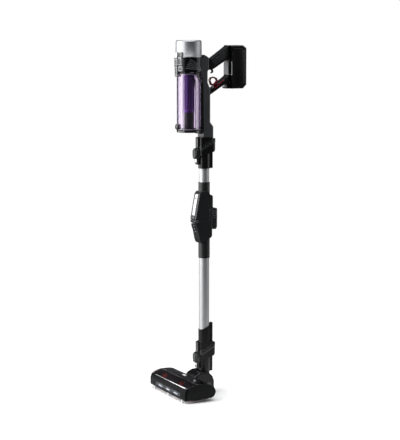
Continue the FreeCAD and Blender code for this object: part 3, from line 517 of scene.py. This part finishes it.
def tuft_row(phase):
    """One row of tufts wound round the roller like a screw thread, from a share of a turn."""
    row = trace("row", [(-ROLLER_HALF, 0, PILE_ROOT), (-ROLLER_HALF, 0, PILE_TIP)])
    bpy.ops.object.mode_set(mode="OBJECT")
    work(row, "SCREW", axis="X", angle=math.tau * TURNS, screw_offset=2 * ROLLER_HALF * MM,
         steps=170, render_steps=170)
    work(row, "SOLIDIFY", thickness=2.3 * MM, offset=0)
    bpy.ops.object.mode_set(mode="EDIT")
    bpy.ops.mesh.select_all(action="SELECT")
    bpy.ops.transform.rotate(value=math.tau * phase, orient_axis="X", center_override=(0, 0, 0))
    bpy.ops.transform.translate(value=(0, ROLLER_Y * MM, ROLLER_Z * MM))
    bpy.ops.mesh.normals_make_consistent(inside=False)
    bpy.ops.object.mode_set(mode="OBJECT")
    return row


pile = nylon("nylon_pile", "0A0A0B", "2A2A2C")
red_pile = nylon("red_nylon_pile", "C80A12", "FF4A50")
black_rows = [tuft_row(turn / ROWS) for turn in range(ROWS) if turn not in RED_ROWS]
fit(several(black_rows, "roller_pile"), "roller", pile, "roller_bristles")
red_rows = [tuft_row(turn / ROWS) for turn in RED_ROWS]
fit(several(red_rows, "roller_red_pile"), "roller", red_pile)
dress(satin_abs, "roller_core", "roller_pulley")

# ------------------------------------------------------------------ rear wheels, fork and neck
# Two small rubber-tyred wheels run in the fork's arms. The neck's domed cover fills the fork and
# turns with it; polished caps close the ends of its pins.
for side, hand in SIDES:
    middle = 27.5 * side
    tyre = [(-4, 2.7), (-4, 9.2), (-3.2, 12.2), (-1.5, 12.95), (-1.1, 12.4), (-0.5, 12.4),
            (-0.3, 12.95), (0.3, 12.95), (0.5, 12.4), (1.1, 12.4), (1.5, 12.95), (3.2, 12.2),
            (4, 9.2), (3.1, 8.4), (3.1, 5.2), (4, 4.4), (4, 2.7)]
    profile = [(middle + across * side, 6 + out, 13) for across, out in tyre]
    wheel = spun("rear_wheel_%s_tyre" % hand, profile, (0, 6, 13), "X", 48)
    fit(wheel, "wheel_" + hand, soft_rubber, "rear_wheel_" + hand)

dress(fork_abs, "neck_cradle")
dress(satin_abs, "neck_yoke")
NECK_PITCH_Z = 30
dome_line = [(-21.6, 40), (-21.6, 60), (-19, 63), (-13, 65), (-4, 65.4), (4, 63.6), (11, 58.4),
             (16.4, 51), (19.6, 42), (20.6, 34), (14, 32), (0, 34), (-14, 38)]
dome = side_slab("neck_dome", dome_line, -20.4, 20.4, 1.6, 4)
fit(dome, "neck", polished_abs)
for side, hand in SIDES:
    pin_cap = button_disc("pin_cover_" + hand, (0, NECK_PITCH_Z), 8, 33.6 * side, 34.6 * side,
                          0.4, 40, 0.4 * side)
    fit(pin_cap, "head", polished_abs)

# ------------------------------------------------------------------ joints of the wand
# Each joint is a socket and a plug that part on a slope. A satin band follows the slope round
# the socket, and a sprung button on the front has grip ribs and a plated catch below it.
dress(satin_abs, "head_socket", "wand_foot", "wand_head_socket", "inlet_plug")
dress(graphite_abs, "head_release_button", "wand_release_button")


def rounded_loop(half, low, high, radius, height, steps=6):
    """A loop round a joint seen from above, at a height that depends on y."""
    loop = []
    for x, y, start in ((half, high, 0), (-half, high, 90), (-half, low, 180), (half, low, 270)):
        centre_x = x - radius if x > 0 else x + radius
        centre_y = y - radius if y > 0 else y + radius
        for step in range(steps + 1):
            angle = math.radians(start + 90 * step / steps)
            place = (centre_x + radius * math.cos(angle), centre_y + radius * math.sin(angle))
            loop.append((*place, height(place[1])))
    return loop


def sloping_band(name, half, low, high, radius, height, tall, thick, rounding=0.35):
    """A raised band round a joint, with sloping edges."""
    loop = rounded_loop(half, low, high, radius, height)
    band = trace(name, loop + loop[:1])
    bpy.ops.mesh.remove_doubles(threshold=1e-6)
    bpy.ops.mesh.extrude_region_move(TRANSFORM_OT_translate={"value": (0, 0, -tall * MM)})
    close_up()
    work(band, "SOLIDIFY", thickness=thick * MM, offset=0)
    return soften(band, rounding, 2)


def seam(foot, lift):
    """The height of a joint's sloping seam as a function of y, for a joint that starts at foot."""
    return lambda y: foot + 64 + (y + 22) * 0.54 + lift


# The bodies of each joint: the one with the socket, the one with the plug, and the button.
for label, foot, socket_body, plug_body, button_body in (
        ("lower", 66, "swivel", "wand", "head_release"),
        ("upper", 717, "upper_wand", "handheld", "wand_release")):
    band = sloping_band(label + "_joint_band", 20, -21, 33.5, 12, seam(foot, -1.4), 9.5, 1.4)
    fit(band, socket_body, graphite_abs)
    brim = sloping_band(label + "_joint_brim", 18.4, -20.4, 27.4, 10, seam(foot, 4.6), 3.4, 1.2)
    fit(brim, plug_body, polished_abs)
    ribs = []
    for step in range(5):
        z = foot + 38 + step * 3.8
        outline = [(-35.4, z), (-36.1, z + 0.5), (-36.1, z + 1.3), (-35.4, z + 1.8)]
        ribs.append(side_slab("rib", outline, -7.4, 7.4, 0.2, 2))
    fit(several(ribs, label + "_button_ribs"), button_body, grey_abs)
    catch_line = [(y, foot + up) for y, up in (
        (-30.2, 31.5), (-30.7, 24), (-29.8, 17), (-27, 12.4), (-23, 11.4), (-22.4, 12.4),
        (-26, 14.2), (-28.4, 18), (-29.2, 24), (-28.8, 31.5))]
    catch = side_slab(label + "_plated_catch", catch_line, -5.5, 5.5, 0.3, 2)
    fit(catch, button_body, chrome)
    guard_line = [(y, foot + up) for y, up in (
        (-22, 32), (-31, 34), (-34.4, 40), (-34.4, 56), (-30.4, 61.4), (-22, 63))]
    guards = [side_slab("guard", guard_line, low_x, high_x, 1.0, 3)
              for low_x, high_x in ((-13.4, -9.2), (9.2, 13.4))]
    fit(several(guards, label + "_button_guard"), plug_body, graphite_abs)
    tongue_line = [(y, foot + up) for y, up in (
        (-26.2, 66), (-26.2, 95), (-24.6, 97.4), (-24, 97), (-24, 66))]
    tongue = side_slab(label + "_joint_tongue", tongue_line, -6.2, 6.2, 0.6, 3)
    fit(tongue, plug_body, grey_abs)

# Extruded aluminium tube, drawn to size, brushed lengthwise and anodised clear.
anodised = metal("anodised_aluminium", "ACADAF", "BBBCBD", 0.5, "Z", 0.12, 90)
dress(anodised, "lower_tube", "upper_tube")
for name, body, low, high in (("lower_tube_seal", "wand", 433.2, 434.6),
                              ("upper_tube_seal", "upper_wand", 672.4, 673.8)):
    fit(ring(name, (0, 0), 15.9, 17.6, low, high, 0.3), body, soft_rubber)

# ------------------------------------------------------------------ knee
# Two shells hinge on a steel pin at the front of the wand; a long silver lever opens them. At
# the back a locking bulge wraps the upper shell, and a corrugated hose carries the air inside.
# Satin black ABS, a little paler than the joints'.
knee_abs = moulded("satin_knee_abs", "141516", "1B1C1D", 0.36, edge_highlight_share=0.3, shine=0.4)
dress(knee_abs, "knee_lower_shell", "knee_upper_shell")
dress(steel, "knee_pin")
dress(graphite_abs, "knee_rear_housing")
KNEE_Y, KNEE_Z = -33, 551
PLATE_Y, PLATE_Z = -39, 557         # foot of the sloping front
LEAN, RISE = 15, 81                 # how far it leans back over its height
SLOPE = math.hypot(LEAN, RISE)


def on_plate(run, out):
    """A point of the knee's sloping front: along it from its foot, and out of it."""
    return (PLATE_Y + (LEAN * run - RISE * out) / SLOPE,
            PLATE_Z + (RISE * run + LEAN * out) / SLOPE)


lever_line = [on_plate(12, -2), on_plate(12, 1.2), on_plate(15, 2.3), on_plate(45, 2.7),
              on_plate(76, 2.3), on_plate(80, 0.8), on_plate(80, -2)]
fit(side_slab("knee_lever", lever_line, -8.4, 8.4, 0.9, 4), "knee_release",
    silver_abs, "knee_button")
notch_line = [on_plate(66, 2.2), on_plate(66, 3.0), on_plate(67.2, 3.2), on_plate(68.4, 3.0),
              on_plate(68.4, 2.2)]
fit(side_slab("lever_notch", notch_line, -5.5, 5.5, 0.2, 2), "knee_release",
    grey_abs)
rest_line = [on_plate(0.5, -1), on_plate(0.5, 1.2), on_plate(3, 2), on_plate(9, 2),
             on_plate(10.3, 1), on_plate(10.3, -1)]
fit(side_slab("thumb_rest", rest_line, -8.8, 8.8, 0.6, 3), "upper_wand", grey_abs)
wrap_line = [(9, 553), (9, 590), (22, 590), (22, 553)]
fit(side_slab("bulge_wrap", wrap_line, -19.8, 19.8, 1.6, 4), "upper_wand",
    graphite_abs)
grooves = [side_slab("groove", [(34, z), (40.9, z), (40.9, z + 1.1), (34, z + 1.1)], -12, 12,
                     0.3, 2) for z in (543, 549, 555, 561, 567)]
fit(several(grooves, "bulge_ribs"), "upper_wand", grey_abs)
for side, hand in SIDES:
    pivot = button_disc("knee_pivot_" + hand, (KNEE_Y, KNEE_Z), 5.6, 18.6 * side, 19.5 * side, 0.3,
                        40, 0.35 * side)
    fit(pivot, "upper_wand", grey_abs)
marks = []
for down in (0, 9, 18):
    y, z = -36.9 + down * 0.35, 536 - down
    outline = [(y, z), (y - 0.5, z + 0.1), (y - 0.7, z + 0.9), (y - 0.2, z + 1.1)]
    marks.append(side_slab("mark", outline, -3, 3, 0.1, 1))
fit(several(marks, "knee_front_ribs"), "wand", silver_abs)
grips = [side_slab("grip", [(24, z), (39.4, z), (39.4, z + 1.6), (24, z + 1.6)], *reach, 0.2, 2)
         for z in (560, 567, 574, 581) for reach in ((-15.5, -14.9), (14.9, 15.5))]
fit(several(grips, "knee_housing_ribs"), "upper_wand", pale_abs)

# The hose runs straight across the knee, from the lower shell to the upper one.
hose_line = []
for fold in range(36):
    z = 482 + fold * 3.9
    hose_line += [(10.6, 0, z), (10.6, 0, z + 0.9), (12.3, 0, z + 1.7), (12.3, 0, z + 3.0)]
hose = spun("knee_hose_corrugated", hose_line, (0, 0, 0), "Z", 36, closed=False)
work(hose, "SOLIDIFY", thickness=0.7 * MM, offset=-1)
fit(hose, None, soft_rubber, "knee_hose")
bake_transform(hose)

# ------------------------------------------------------------------ motor unit
# A spun and brushed aluminium cap sits on a black moulded housing whose exhaust slots fan out on
# both sides. A grey panel wraps the front, with the power button and a row of level lights.
BIN_Y = -54             # upright axis of the bin and of the motor above it
AXIS = (0, BIN_Y, 0)

# Spun aluminium, brushed as it turned: its hairlines run round the axis, 0.3 mm apart.
brushed, tree, shader, where = new_material("spun_brushed_aluminium")
shifted = add(tree, "Mapping", {"Location": (0, -BIN_Y * MM, 0)}, {"Vector": where}).outputs[0]
parts = add(tree, "SeparateXYZ", {}, {0: shifted})
flat_place = add(tree, "CombineXYZ", {}, {0: parts.outputs[0], 1: parts.outputs[1]})
from_axis = add(tree, "VectorMath", {"operation": "LENGTH"},
                {0: flat_place.outputs[0]}).outputs["Value"]
turning = add(tree, "CombineXYZ", {}, {0: from_axis, 1: parts.outputs[2]})
hairs = add(tree, "TexNoise", {"Scale": 3200.0, "Detail": 4.0},
            {"Vector": turning.outputs[0]}).outputs[0]
hair_colour = blend_colour(tree, in_range(tree, hairs, 0.3, 0.7), "8C8D90", "ACADB0")
tree.links.new(hair_colour, shader.inputs["Base Color"])
tree.links.new(in_range(tree, hairs, 0.3, 0.7, 0.37, 0.44), shader.inputs["Roughness"])
hair_bump = add(tree, "Bump", {"Strength": 0.2, "Distance": 0.02 * MM}, {"Height": hairs})
tree.links.new(hair_bump.outputs[0], shader.inputs["Normal"])
set_shader(shader, Metallic=1.0, Anisotropic=0.3)

cap_line = [(out, BIN_Y, z) for out, z in (
    (39, 1064), (41, 1064), (41, 1066.2), (40.6, 1066.6), (40.2, 1110), (39.4, 1113.6),
    (37.4, 1115.4), (34.5, 1115.9), (33.2, 1115.4), (32.6, 1113.6), (22, 1113.2), (21.4, 1114.6),
    (20.2, 1114.6), (19.6, 1113.2), (12, 1113.0), (11.2, 1115.2), (0, 1115.6), (0, 1111.4),
    (37.6, 1111.4), (38.8, 1100), (39, 1064))]
metal_cap = spun("exhaust_cap_spinning", cap_line, AXIS, "Z", 96, closed=False)
fit(metal_cap, "cap", brushed, "exhaust_cap", 50)

dress(fork_abs, "motor_housing")


def on_round(radius, around, z):
    """A point on an upright cylinder about the bin's axis; around is measured from the front."""
    angle = math.radians(around)
    return (radius * math.sin(angle), BIN_Y - radius * math.cos(angle), z)


# Each fin sweeps forward and up from the back of the housing.
fins = []
for side in (-1, 1):
    for fin in range(6):
        start, end = 140 - fin * 2.5, 50 + fin * 4
        low_z, high_z = 1021 + fin * 1.6, 1030 + fin * 5.4
        shares = [step / 10 for step in range(11)]
        path = [on_round(41.0, (start + (end - start) * share) * side,
                         low_z + (high_z - low_z) * share ** 0.8) for share in shares]
        strip = trace("fin", path)
        bpy.ops.mesh.extrude_region_move(TRANSFORM_OT_translate={"value": (0, 0, 1.3 * MM)})
        close_up()
        work(strip, "SOLIDIFY", thickness=1.8 * MM, offset=0)
        fins.append(soften(strip, 0.25, 2))
fit(several(fins, "exhaust_fins"), "handheld", pale_abs)


def wrapped(name, inner, outer, start, end, low, high, rounding):
    """A plate that follows the housing's round front, from one angle to another."""
    profile = [on_round(inner, end, low), on_round(outer, end, low), on_round(outer, end, high),
               on_round(inner, end, high)]
    return soften(spun(name, profile, AXIS, "Z", 20, end - start), rounding, 3)


def round_button(piece):
    """Cut the opening for the power button, with room for its travel."""
    opening = [(-9, -110, 1063), (9, -110, 1063), (9, -110, 1077.4), (-9, -110, 1077.4)]
    return carve(piece, slab("opening", opening, (0, 30, 0)))


# Inner and outer radius of the pads' bright rims, and of the pads themselves.
RIM = (43.0, 43.8)
PAD = (43.2, 44.1)
upper_wrap = round_button(wrapped("front_wrap", 41.5, 43.2, -38, 38, 1038, 1079.4, 0.7))
fit(upper_wrap, "handheld", grey_abs)
for hand, start, end in (("left", -38, -16), ("right", 16, 38)):
    flank = wrapped("front_wrap_" + hand, 41.0, 43.2, start, end, 1019.6, 1038.6, 0.7)
    fit(flank, "handheld", grey_abs)
    rim = wrapped("selector_rim_" + hand, *RIM, start + 2, end - 2, 1022, 1035, 0.3)
    fit(rim, "handheld", silver_abs)
    pad = wrapped("selector_" + hand, *PAD, start + 3.6, end - 3.6, 1023.2, 1033.8, 0.4)
    fit(pad, "handheld", polished_abs)
fit(wrapped("display_rim", *RIM, -31, 31, 1041, 1060, 0.3), "handheld",
    silver_abs)
fit(wrapped("display_glass", *PAD, -29.4, 29.4, 1042.2, 1058.8, 0.4), "handheld",
    polished_abs)
fit(round_button(wrapped("top_pad_rim", *RIM, -31, 31, 1062, 1078.2, 0.3)), "handheld",
    silver_abs)
fit(round_button(wrapped("top_pad", *PAD, -29.4, 29.4, 1063.2, 1077, 0.4)), "handheld",
    polished_abs)
dress(grey_abs, "front_panel", "bin_latch")
# The battery's button is a real part, but its silver is a painted highlight: the white glint at the
# battery's lower front.
dress(silver_abs, "power_button", "battery_button")


def hoop(name, half_wide, low, high, corner, thick, front, deep, rounding=0.25):
    """A rounded rectangular frame that faces the front."""
    outer, inner = [], []
    for shrink, points in ((0, outer), (thick, inner)):
        radius = max(corner - shrink, 0.4)
        for sign_x, sign_z, start in ((1, 1, 0), (-1, 1, 90), (-1, -1, 180), (1, -1, 270)):
            centre_x = sign_x * (half_wide - shrink - radius)
            centre_z = (low + high) / 2 + sign_z * ((high - low) / 2 - shrink - radius)
            for step in range(6):
                angle = math.radians(start + 18 * step)
                points.append((centre_x + radius * math.cos(angle), front,
                               centre_z + radius * math.sin(angle)))
    frame_piece = slab(name, outer, (0, deep, 0))
    hole = slab("hole", [(x, front - 1, z) for x, y, z in inner], (0, deep + 2, 0))
    return soften(carve(frame_piece, hole), rounding, 2)


fit(hoop("power_button_rim", 10.4, 1061.6, 1079, 4.5, 1.4, -99.3, 1.6), "handheld",
    silver_abs)
fit(hoop("level_window_rim", 8.6, 1040, 1058, 3.4, 1.0, -98.6, 1.0), "handheld",
    silver_abs)
bars = [slab("bar", [(-5, -98.3, z), (5, -98.3, z), (5, -98.3, z + 2.2), (-5, -98.3, z + 2.2)],
             (0, 0.5, 0), 0.2, 2) for z in (1043.2, 1047.2, 1051.2)]
fit(several(bars, "level_lights"), "handheld", pale_abs)
fit(hoop("bin_latch_rim", 8.4, 1008, 1033, 3.6, 1.2, -98.9, 1.2), "latch",
    silver_abs)

# Filter paper in 60 pleats: matt, fibrous and off-white.
pleat_line = []
for pleat in range(60):
    for half, out in ((0, 33.6), (1, 27.5)):
        pleat_line.append(on_round(out, 360 * (pleat + half / 2) / 60, 1069))
paper_fibre = moulded("pleated_filter_paper", "BDB9AE", "D2CFC6", 0.95, 0.5, 0.2, edge_highlight="DAD8D0")
pleats = slab("filter_pleats", pleat_line, (0, 0, 38))
bore = slab("bore", [on_round(18, step * 10, 1060) for step in range(36)], (0, 0, 60))
fit(carve(pleats, bore), "handheld", paper_fibre, "exhaust_filter")

# Green solder mask with a fine grid of tracks under it.
board_face, tree, shader, where = new_material("printed_circuit_board")
tracks = add(tree, "TexBrick", {"Scale": 320.0, "Color1": srgb("0E4A2A"), "Color2": srgb("11552F"),
                                "Mortar": srgb("7C8A3A"), "Mortar Size": 0.012}, {"Vector": where})
tree.links.new(tracks.outputs[0], shader.inputs["Base Color"])
set_shader(shader, Roughness=0.35)
dress(board_face, "main_board", "led_board")
# Zinc-plated steel cans with upright hairlines, and a cast fan with a short, coarse grain.
motor_can = metal("zinc_plated_motor_can", "8A8B8E", "A9AAAE", 0.33, "Z", 0.3, 30)
cast_fan = metal("cast_aluminium", "A2A3A6", "B9BABD", 0.35, "Z", 0.5, 2)
dress(motor_can, "main_motor", "brush_motor")
dress(cast_fan, "impeller")

# ------------------------------------------------------------------ spine, grip and battery
# The grip is one black moulding with a soft insert along its upper arm, a hanging hook under it
# and a red trigger ring. The battery slides on from behind; a grey duct runs down the spine.
dress(grey_abs, "spine")
dress(polished_abs, "handle", "battery_case")
dress(pale_abs, "dock_plate")
dress(red_abs, "trigger")
insert_line = [(20, 1050), (30, 1058.6), (74, 1089.4), (75.5, 1083), (74, 1069), (62, 1057.5),
               (30, 1036)]
for side, hand in SIDES:
    insert = side_slab("grip_insert_" + hand, insert_line, 14.6 * side, 15.5 * side, 0.4, 3)
    fit(insert, "handheld", graphite_abs)
hook = [(20, 1026.2), (26.4, 1027.6), (29.4, 1024), (30.6, 1019), (28.4, 1014.6), (23.6, 1012.8),
        (22.8, 1015.4), (26.4, 1017), (27.2, 1019.4), (25.2, 1022.4)]
fit(side_slab("hanging_hook", hook, -5, 5, 0.8, 3), "handheld", satin_abs)
trim = [(28, 968.8), (62, 994.6), (63.6, 991.6), (30.4, 966.2)]
for side, hand in SIDES:
    fit(side_slab("red_trim_" + hand, trim, 14.7 * side, 15.3 * side, 0.2, 2), "handheld",
        red_abs)
cheek_line = [(91, 975), (91, 1090), (121, 1090), (129, 1084), (129, 983), (121, 975)]
for side, hand in SIDES:
    fit(side_slab("battery_cheek_" + hand, cheek_line, 27.6 * side, 28.6 * side, 0.5, 3),
        "battery", satin_abs)
seam_line = [(84.6, 1100.2), (86.2, 1100.2), (86.2, 964.8), (84.6, 964.8)]
fit(side_slab("battery_seam", seam_line, -27.2, 27.2, 0.3, 2), "battery",
    polished_abs)
lights = [slab("light", [(x - 1.6, 136.6, 1082), (x + 1.6, 136.6, 1082), (x + 1.6, 136.6, 1085),
                         (x - 1.6, 136.6, 1085)], (0, 0.35, 0), 0.15, 2) for x in (-8, 0, 8)]
fit(several(lights, "charge_lights"), "battery", silver_abs)
# Thin green film shrunk over the cells: smooth and glossy.
cell_wrap = moulded("heat_shrunk_cell_wrap", "1F5A3C", "2A6E4C", 0.3, 3.0, 0.05, edge_highlight="3A7E5C")
dress(cell_wrap, "battery_cells")

screws = []
for x in (-12, 12):
    for z in (880, 930):
        head_line = [(x, 14.75, z), (x + 1.9, 14.75, z), (x + 2.5, 14.4, z), (x + 2.6, 13.1, z)]
        screw = spun("screw", head_line, (x, 0, z), "Y", 28, closed=False)
        for wide, tall in ((1.5, 0.25), (0.25, 1.5)):
            corners = [(x - wide, 14.1, z - tall), (x + wide, 14.1, z - tall),
                       (x + wide, 14.1, z + tall), (x - wide, 14.1, z + tall)]
            carve(screw, slab("cross", corners, (0, 1.5, 0)))
        screws.append(screw)
fit(several(screws, "spine_screw_heads"), "handheld", steel, "spine_screws")
dress(steel, "head_screws", "flap_pin")

# ------------------------------------------------------------------ dust bin
# Blow-moulded lilac polycarbonate, clear enough to show the cyclone. A polished black frame
# masks its back edge and sweeps over its upper corner, and a pale strip along the window
# is a painted highlight of its rim.
lilac = clear("lilac_polycarbonate", "F6F1F8", 0.03, 0.02, "D2C0DE")
dress(lilac, "dust_bin")


def window_line(grow):
    """The side outline of the bin's window, grown by some millimetres."""
    front, rear, low, high = -140, -21 + grow, 842 - grow, 1012 + grow
    middle_y, middle_z, wide, tall = -62, 960, 41 + grow, 52 + grow
    curve = []
    for step in range(9):
        angle = math.radians(90 - 11.25 * step)
        curve.append((middle_y + wide * math.sin(angle), middle_z + tall * math.cos(angle)))
    return [(front, low), (rear, low)] + curve + [(front, high)]


def bin_shell(name, inner, outer, low, high):
    """A thin hoop round the bin, cleared where the spine's shoulder leans over it."""
    hoop_piece = ring(name, AXIS[:2], inner, outer, low, high, 0.1, 96)
    shoulder = [(-11.5, 969), (-17.4, 975.6), (-20, 993.6), (-26, 1007.4), (-34.4, 1016.6),
                (-34.4, 1032), (-10, 1032)]
    return carve(hoop_piece, side_slab("shoulder", shoulder, -60, 60))


mask = bin_shell("bin_frame", 37.5, 38.35, 838.6, 1016.6)
carve(mask, side_slab("window", window_line(0), -60, 60))
fit(soften(mask, 0.2, 1), "bin", fork_abs)
# A pale strip along the window's edge: a painted highlight of the bin's rim.
rim_highlight_strip = bin_shell("bin_rim_painted_highlight", 37.8, 38.6, 840.5, 1014)
carve(rim_highlight_strip, side_slab("inside", window_line(0), -60, 60))
carve(rim_highlight_strip, side_slab("outside", window_line(1.1), -60, 60), "INTERSECT")
# Opaque pale lilac ABS, glossy: a painted highlight, where the bin's rim catches the light
# along the window's edge.
rim_highlight_paint = moulded("pale_lilac_rim_highlight", "9A90A4", "B0A6BA", 0.25, coat=0.5, edge_highlight="D0C8D8")
fit(rim_highlight_strip, "bin", rim_highlight_paint)

rail_line = [(-21.6, 840), (-11, 840), (-11, 968), (-14.5, 990), (-19, 990), (-21.6, 968)]
rail = side_slab("bin_rail", rail_line, -20.6, 20.6)
carve(rail, ring("clearance", AXIS[:2], 0.5, 38.9, 800, 1020, 0.1, 96))
fit(soften(rail, 0.3, 2), "handheld", polished_abs)

# Purple ABS with metal flake: half metallic, so that it keeps its colour in the highlights.
shroud_metallic = moulded("metallic_purple_shroud", "4E2670", "6E3C96", 0.3, 1.2, 0.04, 0.4,
                          edge_highlight="8E5CB8")
set_shader(shroud_metallic.node_tree.nodes["Principled BSDF"], Metallic=0.45)
shroud_line = []
for rib in range(22):
    for share, out in ((0.0, 15.6), (0.16, 17.9), (0.5, 17.9), (0.66, 15.6)):
        shroud_line.append(on_round(out, 360 * (rib + share) / 22, 902))
grille = slab("shroud_grille", shroud_line, (0, 0, 104))
collars = [ring("collar", AXIS[:2], 14.6, 18, low, high, 0.5)
           for low, high in ((893.2, 903), (1005, 1014.6))]
fit(several([grille] + collars, "cyclone_grille"), "bin", shroud_metallic,
    "cyclone_shroud")
# The cyclone's core is dark satin ABS with a faint purple cast.
dress(moulded("satin_core_abs", "1A171B", "221E24", 0.45), "cyclone_core")

dress(polished_abs, "bin_flap")
fit(ring("flap_seal", AXIS[:2], 33.6, 36.6, 837.2, 838.4, 0.4), "flap",
    soft_rubber)
bosses = [button_disc("hub", (-19, 830), 4.6, 14.7 * side, 17.2 * side, 0.5, 36, 0.6 * side)
          for side in (-1, 1)]
fit(several(bosses, "flap_hinge_bosses"), "bin", polished_abs)
dress(satin_abs, "flap_latch")
thumb = [(-96.4, 843), (-97.6, 845), (-97.6, 851), (-96, 856.6), (-92.4, 858.4), (-92, 843)]
fit(side_slab("flap_thumb", thumb, -8.5, 8.5, 1.0, 4), "flap_catch",
    graphite_abs)
dress(soft_rubber, "drive_belt")
